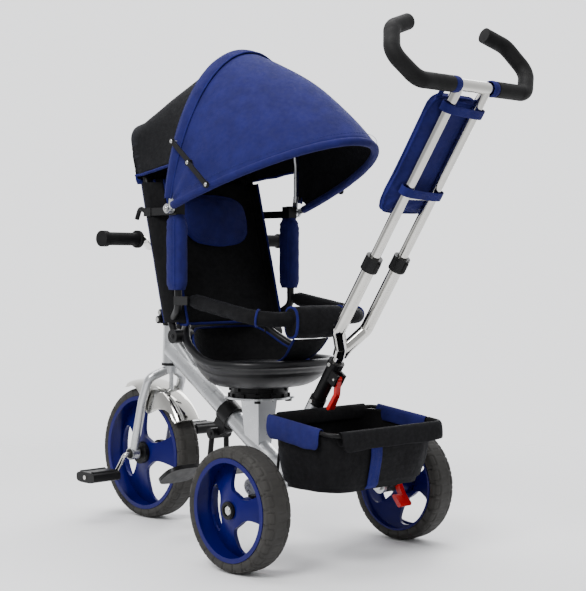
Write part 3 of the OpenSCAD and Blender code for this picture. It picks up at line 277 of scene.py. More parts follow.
for node, obj in frame["nodes"].items():
    obj.data.materials.clear()
    obj.data.materials.append(M[slots[node]])


# ---------- mesh helpers ----------
def make(name, verts, faces, mat, body=None, smooth_faces=True):
    me = bpy.data.meshes.new(name)
    me.from_pydata([tuple(float(c) * 0.001 for c in v) for v in verts], [], [tuple(f) for f in faces])
    me.update()
    bm = bmesh.new()
    bm.from_mesh(me)
    bmesh.ops.remove_doubles(bm, verts=bm.verts, dist=1e-6)
    bmesh.ops.recalc_face_normals(bm, faces=bm.faces)
    bm.to_mesh(me)
    bm.free()
    me.polygons.foreach_set("use_smooth", [smooth_faces] * len(me.polygons))
    ob = bpy.data.objects.new(name, me)
    scene.collection.objects.link(ob)
    for m in (mat if isinstance(mat, (list, tuple)) else [mat]):
        me.materials.append(m)
    if body:
        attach(ob, body)
    return ob


def sheet_faces(rows, cols, wrap_cols=False, wrap_rows=False):
    out = []
    for j in range(rows if wrap_rows else rows - 1):
        for i in range(cols if wrap_cols else cols - 1):
            a, b = j * cols + i, j * cols + (i + 1) % cols
            c, d = ((j + 1) % rows) * cols + (i + 1) % cols, ((j + 1) % rows) * cols + i
            out.append((a, b, c, d))
    return out


def grid(name, rows, mat, body=None, wrap_cols=False, wrap_rows=False, caps=False):
    n, k = len(rows), len(rows[0])
    faces = sheet_faces(n, k, wrap_cols, wrap_rows)
    if caps:
        faces += [tuple(range(k)), tuple((n - 1) * k + i for i in reversed(range(k)))]
    return make(name, [p for r in rows for p in r], faces, mat, body)


def bake(ob, *mods):
    """Adds modifiers given as (type, settings) and applies them all."""
    for kind, settings in mods:
        m = ob.modifiers.new(kind.lower(), kind)
        for key, value in settings.items():
            setattr(m, key, value)
    bpy.context.view_layer.update()
    new = bpy.data.meshes.new_from_object(ob.evaluated_get(bpy.context.evaluated_depsgraph_get()))
    ob.modifiers.clear()
    ob.data = new
    new.polygons.foreach_set("use_smooth", [True] * len(new.polygons))
    return ob


def thick(ob, mm, offset=-1.0, levels=0, second=False):
    mods = [("SOLIDIFY", {"thickness": mm * 0.001, "offset": offset,
                          "material_offset": 1 if second else 0,
                          "material_offset_rim": 0})]
    if levels:
        mods.append(("SUBSURF", {"levels": levels, "render_levels": levels}))
    return bake(ob, *mods)


def frames(pts):
    """Directions along a path, with sideways directions that don't twist."""
    pts = [np.array(p, float) for p in pts]
    tan = []
    for i in range(len(pts)):
        t = pts[min(i + 1, len(pts) - 1)] - pts[max(i - 1, 0)]
        tan.append(t / (np.linalg.norm(t) + 1e-12))
    up = V(0, 0, 1) if abs(tan[0][2]) < 0.9 else V(1, 0, 0)
    side = np.cross(tan[0], up)
    side /= np.linalg.norm(side)
    out = []
    for t in tan:
        side = side - t * np.dot(side, t)
        side /= np.linalg.norm(side) + 1e-12
        out.append((t, side, np.cross(side, t)))
    return out


def tube(name, pts, r, mat, body=None, sides=12, flat=1.0, closed=False):
    """A tube along pts; r may be a function of the share of the way along."""
    rows = []
    n = len(pts)
    if closed:
        pts = list(pts) + [pts[0]]
    for i, (p, (t, a, b)) in enumerate(zip(pts, frames(pts))):
        if closed and i == n:
            break
        rr = r(i / max(1, n - 1)) if callable(r) else r
        rows.append([p + rr * (a * math.cos(2 * math.pi * k / sides)
                     + b * flat * math.sin(2 * math.pi * k / sides)) for k in range(sides)])
    return grid(name, rows, mat, body, wrap_cols=True, wrap_rows=closed, caps=not closed)


def path_len(pts):
    return sum(float(np.linalg.norm(np.array(b) - np.array(a))) for a, b in zip(pts, pts[1:]))


def resample(pts, step):
    pts = [np.array(p, float) for p in pts]
    d = [0.0]
    for a, b in zip(pts, pts[1:]):
        d.append(d[-1] + float(np.linalg.norm(b - a)))
    count = max(2, int(d[-1] / step) + 1)
    xs = np.linspace(0, d[-1], count)
    arr = np.array(pts)
    return [V(*(float(np.interp(x, d, arr[:, k])) for k in range(3))) for x in xs]


def rounded_path(pts, bend, step=3.0):
    """Corners rounded with quadratic bends, then evenly spaced."""
    pts = [np.array(p, float) for p in pts]
    out = [pts[0]]
    for a, b, c in zip(pts, pts[1:], pts[2:]):
        la, lc = np.linalg.norm(b - a), np.linalg.norm(c - b)
        d = min(bend, la * 0.49, lc * 0.49)
        p, q = b + (a - b) / la * d, b + (c - b) / lc * d
        out += [(1 - u) ** 2 * p + 2 * u * (1 - u) * b + u * u * q for u in np.linspace(0, 1, 9)]
    out.append(pts[-1])
    return resample(out, step)


def stitches(name, pts, mat, body, dash=4.0, gap=3.0, r=0.55):
    """A row of raised thread dashes along a path."""
    pts = resample(pts, dash + gap)
    verts, faces = [], []
    for (p, (t, a, b)) in zip(pts, frames(pts)):
        base = len(verts)
        for end in (-1, 1):
            for k in range(5):
                ang = 2 * math.pi * k / 5
                verts.append(p + t * dash / 2 * end + r * (a * math.cos(ang) + b * math.sin(ang)))
        faces += [(base + k, base + (k + 1) % 5, base + 5 + (k + 1) % 5, base + 5 + k) for k in range(5)]
        faces += [tuple(base + k for k in range(5)), tuple(base + 9 - k for k in range(5))]
    return make(name, verts, faces, mat, body)


def move_verts(ob, fn):
    """Moves each vertex by fn(position in mm, normal) in mm."""
    n = len(ob.data.vertices)
    co, no = np.zeros(n * 3), np.zeros(n * 3)
    ob.data.vertices.foreach_get("co", co)
    ob.data.vertices.foreach_get("normal", no)
    co, no = co.reshape(-1, 3) * 1000, no.reshape(-1, 3)
    moved = np.array([p + fn(p, q) for p, q in zip(co, no)])
    ob.data.vertices.foreach_set("co", (moved * 0.001).ravel())
    ob.data.update()


def puff(ob, cap, pressure=4.0, voxel=4.5):
    """Swells a closed mesh as a stuffed pad, with Cloth; no point moves more than cap mm."""
    bake(ob, ("REMESH", {"mode": "VOXEL", "voxel_size": voxel * 0.001}))
    bake(ob, ("SMOOTH", {"factor": 0.5, "iterations": 4}))
    rest = [v.co.copy() for v in ob.data.vertices]
    cloth = ob.modifiers.new("puff", "CLOTH")
    s = cloth.settings
    s.quality = 4
    s.mass = 0.3
    s.use_pressure = True
    s.uniform_pressure_force = pressure
    s.effector_weights.gravity = 0
    cloth.collision_settings.use_collision = False
    cloth.point_cache.frame_start = 1
    cloth.point_cache.frame_end = 20
    for f in range(1, 21):
        scene.frame_set(f)
    done = bpy.data.meshes.new_from_object(ob.evaluated_get(bpy.context.evaluated_depsgraph_get()))
    moved = [v.co.copy() for v in done.vertices]
    ob.modifiers.clear()
    scene.frame_set(1)
    bpy.data.meshes.remove(done)
    for v, a, b in zip(ob.data.vertices, rest, moved):
        d = b - a
        if d.length > cap * 0.001:
            d = d * (cap * 0.001 / d.length)
        v.co = a + d
    return bake(ob, ("SUBSURF", {"levels": 1, "render_levels": 1}))


def snap(ob, pts, lift):
    """The points of a path moved to the nearest place on ob, lift mm out of it."""
    out = []
    for p in pts:
        hit, co, nor, _ = ob.closest_point_on_mesh(Vector(p) * 0.001)
        out.append(np.array(co) * 1000 + np.array(nor) * lift)
    return out


def smooth_path(pts, times=3, closed=False):
    pts = [np.array(p, float) for p in pts]
    for _ in range(times):
        n = len(pts)
        new = []
        for i, p in enumerate(pts):
            if not closed and i in (0, n - 1):
                new.append(p)
            else:
                new.append(pts[i - 1] * 0.25 + p * 0.5 + pts[(i + 1) % n] * 0.25)
        pts = new
    return pts


def lathe_x(name, profile, centre, mat, body=None, sides=40, flip=1):
    """A turned piece about an axis along X; profile is (x, radius) pairs."""
    rows = [[V(centre[0] + flip * x, centre[1] + r * math.cos(2 * math.pi * k / sides),
             centre[2] + r * math.sin(2 * math.pi * k / sides)) for k in range(sides)] for x, r in profile]
    return grid(name, rows, mat, body, wrap_cols=True, caps=True)


def rivet(name, p, side, body, r=4.2, h=2.4):
    prof = [(0, r), (h * 0.45, r * 0.95), (h * 0.8, r * 0.7), (h, r * 0.3), (h * 1.02, 0.2)]
    return lathe_x(name, prof, p, M["bright_steel"], body, sides=20, flip=side)


# ---------- tyres ----------
def tyre(name, node, centre, r, w, rim_r, body, lugs):
    steps, cols = lugs * 18, 46
    pitch = 2 * math.pi * r / lugs
    half = w / 2
    wall = r - rim_r
    prof = [(rim_r, -0.90 * half), (rim_r + 0.10 * wall, -0.95 * half), (rim_r + 0.4 * wall, -half),
            (r - 0.36 * wall, -0.985 * half), (r - 0.16 * wall, -0.87 * half), (r - 0.05 * wall, -0.68 * half),
            (r - 0.012 * wall, -0.45 * half), (r, -0.2 * half), (r, 0.2 * half),
            (r - 0.012 * wall, 0.45 * half), (r - 0.05 * wall, 0.68 * half), (r - 0.16 * wall, 0.87 * half),
            (r - 0.36 * wall, 0.985 * half), (rim_r + 0.4 * wall, half), (rim_r + 0.10 * wall, 0.95 * half),
            (rim_r, 0.90 * half)]
    d = np.concatenate([[0], np.cumsum([math.dist(a, b) for a, b in zip(prof, prof[1:])])])
    ss = np.linspace(0, d[-1], cols)
    pr = np.interp(ss, d, [p[0] for p in prof])
    px = np.interp(ss, d, [p[1] for p in prof])
    rows = []
    for j in range(steps):
        th = 2 * math.pi * j / steps
        row = []
        for i in range(cols):
            s = ss[i] - d[-1] / 2
            side = 1 if s > 0 else -1
            u = (j / 18.0 + (0.5 if side > 0 else 0.0)) % 1.0 - 0.5
            a, b = abs(u) * pitch, abs(s)
            cut = 0.0
            q = max(a - 7.5, 0) ** 2 + max(abs(b - half * 0.78) - 4.5, 0) ** 2
            ring = abs(math.sqrt(q) - 3.0)
            if math.sqrt(q) < 6 and b > half * 0.36:
                cut = max(cut, 2.3 * (1 - smooth(ring / 2.1)))
            if half * 0.95 < b < half * 1.42:
                cut = max(cut, 3.2 * smooth((a / pitch - 0.38) / 0.07))
            if b < half * 0.3:
                cut = max(cut, 1.3 * (1 - smooth(abs(abs(u) - 0.25) * pitch / 1.8)))
            nr = max(0.0, (pr[i] - rim_r) / wall)
            rr = pr[i] - cut * min(1, nr * 1.2)
            xx = px[i] - math.copysign(cut * 0.7, px[i]) * (1 if b > half * 0.9 else 0)
            row.append(V(centre[0] + xx, centre[1] + rr * math.cos(th), centre[2] + rr * math.sin(th)))
        rows.append(row)
    ob = grid(name, rows, M["grey_tyre"], body, wrap_rows=True)
    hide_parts(node)
    return ob


tyre("tyre_rear_left", "rear_tyre_left", (rear_x, rear_y, rear_r), rear_r, 60, 99, "rear_wheel_left", 24)
tyre("tyre_rear_right", "rear_tyre_right", (-rear_x, rear_y, rear_r), rear_r, 60, 99, "rear_wheel_right", 24)
tyre("tyre_front", "front_tyre", (0, front_y, front_r), front_r, 58, 130, "front_wheel", 30)


# ---------- mudguard ----------
def guard():
    rows = []
    for i in range(53):
        a = 30 + 78 * i / 52
        low = 104 + 53 * smooth(abs(a - 69) / 34) + 5 * math.sin(rad(a * 9))
        end = 1 - 0.25 * (smooth((36 - a) / 6) + smooth((a - 102) / 6))
        cross = []
        for x, r in ((-37.6, low), (-38.2, low + (139 - low) * 0.5), (-37.2, 142), (-35.5, 155), (-31, 163.5),
                     (-24, 167.5), (-12, 169), (0, 169.2), (12, 169), (24, 167.5), (31, 163.5), (35.5, 155),
                     (37.2, 142), (38.2, low + (139 - low) * 0.5), (37.6, low)):
            rr = max(r, 169 - (169 - low) * end)
            cross.append(V(x, front_y + rr * math.cos(rad(a)), front_r + rr * math.sin(rad(a))))
        rows.append(cross)
    ob = grid("front_mudguard", rows, M["chrome"])
    thick(ob, 1.4, 0, 1)
    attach(ob, "steering")
    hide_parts("mudguard")


guard()


# ---------- seat tub ----------
def tub_rise(t):
    s = math.sin(t)
    return 48 + 34 * smooth((0.15 - s) / 0.6) + 44 * smooth((-s - 0.3) / 0.6)


def tub_ring(level, shrink, lift, n=120, extra=0.0):
    out = []
    k = 0.48 + 0.52 * level ** 0.42 if level > 0 else 0.48
    for i in range(n):
        t = 2 * math.pi * i / n
        out.append(V((148 * k - shrink) * curve_sign(math.cos(t), 0.8),
                     seat_y + (143 * k - shrink) * curve_sign(math.sin(t), 0.8),
                     tub_z + lift + extra + (tub_rise(t) - lift) * level))
    return out


rows = [tub_ring(0.0, 40, 0), tub_ring(0.0, 2, 0)]
rows += [tub_ring(lv, sh, 0) for lv, sh in ((0.02, 0), (0.05, 0), (0.1, 0), (0.18, 0), (0.3, 0), (0.44, 0),
                                            (0.56, 0), (0.62, 0.3), (0.65, 2.2), (0.72, 2.4), (0.76, 0.3),
                                            (0.84, -0.6), (0.92, -1.5), (0.97, -3.2))]
lip_r = 9.0
rows += [tub_ring(1, 1.5 - lip_r * math.cos(rad(a)), 0, extra=5 + lip_r * math.sin(rad(a)))
         for a in range(-50, 201, 25)]
rows += [tub_ring(lv, 9, lf) for lv, lf in ((0.9, 0), (0.7, 0), (0.45, 1), (0.25, 3), (0.1, 4), (0.0, 4))]
rows += [tub_ring(0.0, 40, 4)]
tub = grid("seat_bowl", rows, M["grey_shell"], "seat", wrap_cols=True, caps=True)
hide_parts("seat_tub")
back_foot = V(back_tube_x - 6, seat_y - 104, flange_z + 128)
for side, tag in ((1, "left"), (-1, "right")):
    lathe_x(f"recline_boss_{tag}", [(100, 11), (101, 13.4), (128, 13.4), (130, 12), (131, 6), (131.5, 5), (152, 5),
                                    (153, 4)], (0, back_foot[1], back_foot[2]), M["black_plastic"], "seat",
            flip=side)


# ---------- seat cushion ----------
cushion_z = tub_z + 7


def ring(cx, cy, z, rx, ry, power, n=72):
    out = []
    for i in range(n):
        t = 2 * math.pi * i / n
        out.append(V(cx + rx * curve_sign(math.cos(t), power), cy + ry * curve_sign(math.sin(t), power), z))
    return out


def cushion():
    ob = grid("seat_pad", [ring(0, seat_y + 8, cushion_z + z, 118 - d, 106 - d, 0.72)
                           for z, d in ((2, 40), (6, 26), (14, 13), (24, 7), (32, 10), (36, 20), (37, 60))],
              M["black_fabric"], wrap_cols=True, caps=True)
    puff(ob, 7)
    move_verts(ob, lambda p, n: n * (-2.6 * (1 - smooth(abs(p[1] - seat_y - 30) / 7)) * (1 if n[2] > 0.4 else 0)
                                     - 2.6 * (1 - smooth(abs(p[1] - seat_y + 32) / 7)) * (1 if n[2] > 0.4 else 0)
                                     + 0.8 * wob(p[0], p[1], p[2], 0.03)))
    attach(ob, "seat")
    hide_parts("seat_cushion")
    line = smooth_path(snap(ob, ring(0, seat_y + 8, cushion_z + 30, 112, 100, 0.72, 120), 0.8), 3, True)
    tube("seat_pad_piping", line, 2.6, M["blue_trim"], "seat", closed=True)
    inner = smooth_path(snap(ob, ring(0, seat_y + 8, cushion_z + 38, 98, 86, 0.72, 120), 0.1), 3, True)
    stitches("seat_pad_stitches", inner, M["dark_thread"], "seat")
    return ob


cushion()


def liner():
    """The cloth liner of the seat, which rises over the tub's edge and carries the blue edge."""
    rows = []
    for j in range(9):
        v = j / 8
        r = []
        for i in range(97):
            t = -200 + 220 * i / 96
            a = rad(t)
            up = tub_rise(a)
            front = smooth((math.sin(a) + 0.2) / 0.8)
            k = 0.48 + 0.52 * (0.30 + 0.62 * v) ** 0.42
            r.append(V((148 * k - 11 - 2 * v) * curve_sign(math.cos(a), 0.8),
                       seat_y + (143 * k - 11 - 2 * v) * curve_sign(math.sin(a), 0.8),
                       tub_z + 6 + (up - 2) * (0.26 + (0.66 - 0.1 * front) * v) + 1.2 * wob(t, v * 30, 3, 0.09)))
        rows.append(r)
    ob = grid("seat_liner", rows, M["black_fabric"])
    thick(ob, 5, 0, 1)
    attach(ob, "seat")
    tube("seat_liner_piping", smooth_path(rows[-1], 2), 2.8, M["blue_trim"], "seat")


liner()


# ---------- crotch strap ----------
bar_foot_z = float(lo("bumper_pad")[2])


def strap():
    """The cloth that stands up from the seat to the front of the safety bar."""
    path = rounded_path([V(0, seat_y + 74, tub_z + 52), V(0, seat_y + 128, tub_z + 66),
                         V(0, seat_y + 162, bar_foot_z - 2)], 30, 4)
    rows = []
    for j, p in enumerate(path):
        v = j / (len(path) - 1)
        half = mixed(27, 47, smooth(v * 1.1))
        rows.append([p + V(x * half, 2.0 * math.cos(x * 3 + v * 2) - 5 * x * x * v, 0.8 * wob(x * 2, v * 3, 1))
                     for x in np.linspace(-1, 1, 19)])
    ob = grid("crotch_strap_web", rows, M["black_fabric"])
    thick(ob, 3.4, 0, 1)
    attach(ob, "seat")
    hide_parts("crotch_strap")
    for side, tag in ((1, "left"), (-1, "right")):
        tube(f"crotch_strap_piping_{tag}", [r[0 if side < 0 else -1] for r in rows], 2.6, M["blue_trim"], "seat")


strap()


# ---------- back upholstery ----------
shell_z0, shell_z1 = back_foot[2] + 26, pivot_z + 66


def shell_pt(level, u, inset):
    z = mixed(shell_z0, shell_z1, level)
    back = back_y(z) + back_tube_r + 1.5 + inset
    wing = 28
    half = back_tube_x - back_tube_r - 2.5 - inset
    s = abs(u)
    if s < 0.6:
        x = half * math.sin(math.pi / 2 * s / 0.6) ** 0.9 if s > 0 else 0
        y = back + 8 * (s / 0.6) ** 4
    else:
        x = half - 3 * (s - 0.6)
        y = back + 8 + (wing - 8) * (s - 0.6) / 0.4
    return V(math.copysign(x, u) if u else 0, y, z)


def back_rest():
    outer, inner = [], []
    us = list(np.linspace(-1, 1, 81))
    for j in range(41):
        lv = j / 40
        ro, ri = [], []
        for u in us:
            pad = 8 + 5 * (1 - smooth(abs(u) / 0.55)) * math.sin(math.pi * min(1, lv * 1.6)) if abs(u) < 0.6 else 7
            chan = min(abs(lv - c) for c in (0.18, 0.36))
            if abs(u) < 0.5:
                pad -= 4 * (1 - smooth(chan / 0.03))
            if abs(u) < 0.62:
                pad -= 3 * (1 - smooth(abs(abs(u) - 0.5) / 0.03))
            edge = min(lv, 1 - lv, 1 - abs(u)) / 0.05
            pad = mixed(2.5, pad, smooth(edge))
            w = 1.1 * wob(u * 60, lv * 60, 0.0, 0.09)
            ro.append(shell_pt(lv, float(u), 0.0))
            ri.append(shell_pt(lv, float(u), pad + w))
        outer.append(ro)
        inner.append(ri)
    n = len(us)
    verts = [p for r in outer for p in r] + [p for r in inner for p in r]
    rows = len(outer)
    cnt = rows * n
    faces = sheet_faces(rows, n) + [tuple(i + cnt for i in reversed(f)) for f in sheet_faces(rows, n)]
    loop = list(range(n)) + [j * n + n - 1 for j in range(1, rows)]
    loop += [(rows - 1) * n + i for i in range(n - 2, -1, -1)] + [j * n for j in range(rows - 2, 0, -1)]
    faces += [(a, b, b + cnt, a + cnt) for a, b in zip(loop, loop[1:] + loop[:1])]
    ob = make("back_liner", verts, faces, M["black_fabric"], "backrest")
    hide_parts("back_shell")
    for side, tag in ((1, "left"), (-1, "right")):
        tube(f"back_piping_{tag}", [shell_pt(l, 0.6 * side, 0.0) + V(1.5 * side, -1.5, 0)
                                    for l in np.linspace(0, 1, 60)], 3.4, M["blue_trim"], "backrest")
        tube(f"wing_piping_{tag}", [shell_pt(l, side * 1.0, 3.0) + V(0, 1, 0) for l in np.linspace(0, 1, 60)],
             2.6, M["blue_trim"], "backrest")
    tube("back_piping_foot", smooth_path([shell_pt(0, u, 2.5) + V(0, 0, -1.0) for u in us], 3), 3.0,
         M["blue_trim"], "backrest")
    for side, tag in ((1, "left"), (-1, "right")):
        stitches(f"back_stitches_{tag}", [shell_pt(l, side * 0.66, -0.5) for l in np.linspace(0.02, 0.98, 60)],
                 M["dark_thread"], "backrest")


back_rest()


def side_cloth():
    """The cloth that wraps each back tube and closes the side between it and the wing."""
    for side, tag in ((1, "left"), (-1, "right")):
        rows = []
        for z in np.linspace(shell_z0 + 3, pivot_z + 60, 41):
            rear = back_y(z)
            edge = shell_pt((z - shell_z0) / (shell_z1 - shell_z0), side, 3.0)
            x = side * back_tube_x
            path = rounded_path([V(x - side * 3, rear - back_tube_r - 3.5, z),
                                 V(x + side * 10, rear - back_tube_r - 2, z),
                                 V(x + side * 9, rear + 12, z), edge + V(side * 3.5, 0, 0)], 14, 1.0)
            across = resample(path, path_len(path) / 14.001)[:15]
            rows.append([p + V(side * 0.8 * wob(p[1], p[2], 0, 0.05), 0, 0) for p in across])
        ob = grid(f"side_cloth_{tag}", rows, M["black_fabric"])
        thick(ob, 2.2, 0, 1)
        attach(ob, "backrest")
        tube(f"side_cloth_piping_{tag}", [r[1] + V(side * 1.5, -2.0, 0) for r in rows], 3.0, M["blue_trim"], "backrest")


side_cloth()


def headrest():
    z = pivot_z - 20
    c = V(0, back_y(z) + back_tube_r + 1.5 + 6 + 13, z)
    rake = math.atan(back_lean)
    up = V(0, -math.sin(rake), math.cos(rake))
    out = V(0, math.cos(rake), math.sin(rake))

    def outline(k, rx, ry, n=72):
        res = []
        for i in range(n):
            t = 2 * math.pi * i / n
            w = rx * curve_sign(math.cos(t), 0.75)
            h = ry * curve_sign(math.sin(t), 0.75 if math.sin(t) < 0 else 0.5)
            res.append(c + V(1, 0, 0) * w + up * h + out * k)
        return res

    ob = grid("head_pad", [outline(k, 88 + a, 54 + a) for k, a in
                           ((-10, -30), (-10, -8), (-5, 1), (0, 3), (5, 1), (9, -8), (11, -30))],
              M["blue_fabric"], wrap_cols=True, caps=True)
    puff(ob, 6)
    move_verts(ob, lambda p, n: n * (0.9 * wob(p[0], p[1], p[2], 0.035)))
    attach(ob, "backrest")
    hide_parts("headrest_pad")
    line = smooth_path(snap(ob, outline(0, 100, 66, 110), 0.3), 3, True)
    tube("head_pad_piping", line, 2.3, M["blue_trim"], "backrest", closed=True)
    ins = smooth_path(snap(ob, outline(12, 80, 46, 110), 0.1), 3, True)
    stitches("head_pad_stitches", ins, M["thread"], "backrest")


headrest()


# ---------- sleeves on the side tubes ----------
def sleeves():
    z0, z1 = flange_z + 226, pivot_z - 12
    for side, tag in ((1, "left"), (-1, "right")):
        rows = []
        for j in range(44):
            v = j / 43
            z = mixed(z0, z1, v)
            end = min(v, 1 - v) * (z1 - z0)
            k = 0.80 + 0.20 * smooth(end / 14) - 0.10 * smooth((v - 0.82) / 0.18)
            r = []
            for i in range(40):
                t = 2 * math.pi * i / 40
                w = 1.0 * wob(math.cos(t) * 2, math.sin(t) * 2, z * 0.06) + 0.8 * math.sin(z * 0.5 + 3 * math.sin(t)) \
                    * smooth((v - 0.7) / 0.2)
                r.append(V(side * side_x + (17.5 * k + w) * curve_sign(math.cos(t), 0.8),
                           pivot_y - 0.5 + (23.5 * k + w) * curve_sign(math.sin(t), 0.85), z))
            rows.append(r)
        ob = grid(f"tube_sleeve_{tag}", rows, M["blue_fabric"], "backrest", wrap_cols=True, caps=True)
        if side > 0:
            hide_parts("tube_sleeves")
        tube(f"sleeve_seam_{tag}", [r[3] + V(side * 0.3, 0.3, 0) for r in rows[2:-2]], 1.3, M["blue_trim"],
             "backrest", sides=8)
        stitches(f"sleeve_stitches_{tag}", [r[1] + V(side * 0.2, 0, 0) for r in rows[3:-3]], M["thread"], "backrest")


sleeves()


# ---------- canopy ----------
COLS = 96
cloth_off = 6.4


def arch(k, low=5.0):
    return low + (180 - 2 * low) * k / COLS


def visor_pt(t, s, off):
    a = bow_pt(mid_lean + 1.5, mid_len + off, mid_half + off, s)
    b = bow_pt(front_lean, front_len + off, front_half + off, s)
    c = bow_pt(mixed(mid_lean + 1.5, front_lean, t), mixed(mid_len, front_len, t) + off,
               mixed(mid_half, front_half, t) + off, s)
    p = mixed(mixed(a, b, t), c, 0.42)
    tuck = math.sin(math.pi * t)
    near = 1 - smooth((s if s < 90 else 180 - s) / 45)
    w = tuck * (2.2 * wob(t * 3 + 5, s * 0.05, 1) + 2.0 * near * math.sin(t * 13 + s * 0.05))
    n = p - V(0, pivot_y + 60, pivot_z)
    return p + n / np.linalg.norm(n) * w


def visor():
    rows = [[visor_pt(j / 26, arch(k), cloth_off + 2.0) for k in range(COLS + 1)] for j in range(27)]
    ob = grid("canopy_hood", rows, [M["blue_fabric"], M["lining"]])
    thick(ob, 1.8, -1, 0, second=True)
    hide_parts("canopy_visor")
    return ob


hood = visor()
p_start = bow_pt(mid_lean, mid_len, mid_half, 90) * 0.001
p_end = bow_pt(front_lean, front_len, front_half, 90) * 0.001
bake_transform(hood)


def front_hem():
    pts = [bow_pt(front_lean, front_len + 1.0, front_half + 1.0, 3 + 174 * k / 120) for k in range(121)]
    tube("canopy_front_hem", pts, lambda u: 8.4 + 0.5 * wob(u * 40, 0, 0), M["blue_fabric"], "canopy_front",
         sides=18)
    across = V(0, math.cos(rad(front_lean)), -math.sin(rad(front_lean)))
    pts = [bow_pt(front_lean, front_len + 8.6, front_half + 8.6, 6 + 168 * k / 120) - across * 15 for k in range(121)]
    stitches("canopy_front_stitches", pts, M["thread"], "canopy_front")


front_hem()


def mid_band():
    across = V(0, math.cos(rad(mid_lean)), -math.sin(rad(mid_lean)))
    rows = []
    for j in range(13):
        v = j / 12
        r = []
        for k in range(121):
            s = 3.5 + 173 * k / 120
            h = math.sin(rad(s))
            w = mixed(20, 42, h)
            lift = 3.5 + 5.5 * math.sin(math.pi * v) + 0.9 * wob(v * 3, s * 0.12, 2)
            r.append(bow_pt(mid_lean, mid_len + cloth_off + lift, mid_half + cloth_off + lift, s)
                     + across * w * (v - 0.58))
        rows.append(r)
    ob = grid("canopy_mid_band", rows, M["blue_fabric"])
    thick(ob, 2.0, -1, 1)
    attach(ob, "canopy_mid")
    tube("canopy_mid_piping", [p + across * 1 for p in rows[-1]], 2.1, M["blue_trim"], "canopy_mid",
         sides=10)
    stitches("canopy_mid_stitches", rows[2], M["thread"], "canopy_mid")


mid_band()


def frame_u(t, off):
    low, half, top, c = pivot_z + 76, back_tube_x + off, back_top_z + off, 30 + off
    up = top - c - low
    arc = c * math.pi / 2
    across = half - c
    s = abs(2 * t - 1) * (up + arc + across)
    a = max(0.0, min(90.0, (s - across) / arc * 90))
    x = s if s < across else across + c * math.sin(rad(a))
    z = top - c + c * math.cos(rad(a)) - max(0.0, s - across - arc)
    return V((1 if t < 0.5 else -1) * x, back_y(z), z)


def rear_pt(t, k, off):
    a = bow_pt(mid_lean - 1.5, mid_len + off, mid_half + off, 16 + 148 * k)
    b = frame_u(k, back_tube_r + off - 4)
    swell = 10 * 4 * t * (1 - t) * math.sin(math.pi * k)
    w = 2.2 * wob(t * 3, k * 9, 7) * math.sin(math.pi * t)
    return a * (1 - t) + b * t + V(0, -swell * 0.8, swell * 0.6 + w)


def drop_pt(level, k, off):
    p = rear_pt(1.0, k, off)
    z = mixed(p[2], pivot_z + 62, level)
    return V(p[0], back_y(z) - back_tube_r - off, z)


def rear_panel():
    off = cloth_off + 2.0
    ks = [i / COLS for i in range(COLS + 1)]
    rows = [[drop_pt(l, k, off) for k in ks] for l in (1, 0.8, 0.6, 0.4, 0.2, 0.08, 0)]
    rows += [[rear_pt(1 - j / 18, k, off) for k in ks] for j in range(1, 19)]
    ob = grid("canopy_back_panel", rows, [M["black_fabric"], M["lining"]])
    thick(ob, 1.8, -1, 0, second=True)
    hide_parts("canopy_rear")
    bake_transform(ob)
    foot = [drop_pt(1, k, off) for k in ks]
    tube("canopy_back_hem", resample(smooth_path(foot, 2), 4), 3.2, M["blue_trim"], "backrest", flat=1.8)
    for side, tag in ((0, "left"), (COLS, "right")):
        line = [r[side] + V(0.6 if side == 0 else -0.6, 0, -1) for r in rows[6:]]
        ob = tube(f"canopy_side_hem_{tag}", resample(line, 4), 4.6, M["blue_trim"], None, flat=0.6)
        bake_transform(ob)
        line = [r[side] + V(0.8 if side == 0 else -0.8, 0, 0) for r in rows[:7]]
        tube(f"canopy_edge_{tag}", resample(line, 4), 2.6, M["blue_trim"], "backrest")


rear_panel()
stay_r = 138.0


def stay_pt(lean):
    return V(0, pivot_y + stay_r * math.sin(rad(lean)), pivot_z + stay_r * math.cos(rad(lean)))


sa, sc = stay_pt(mid_lean), stay_pt(front_lean)
sb = (sa + sc) / 2
for side, tag in ((1, "left"), (-1, "right")):
    rivet(f"rivet_pivot_{tag}", V(side * 190.5, pivot_y, pivot_z), side, "backrest", r=5.5, h=3)
    rivet(f"rivet_stay_top_{tag}", V(side * 188, sa[1], sa[2]), side, "stay_top")
    rivet(f"rivet_stay_knee_{tag}", V(side * 192.5, sb[1], sb[2]), side, "stay_top")
    rivet(f"rivet_stay_foot_{tag}", V(side * 192, sc[1], sc[2]), side, "stay_foot")


# ---------- safety bar ----------
hoop_p = V(side_x - 14, pivot_y + 34, flange_z + 204)
hoop_y = seat_y + 172
hoop_z = hoop_p[2] - 34


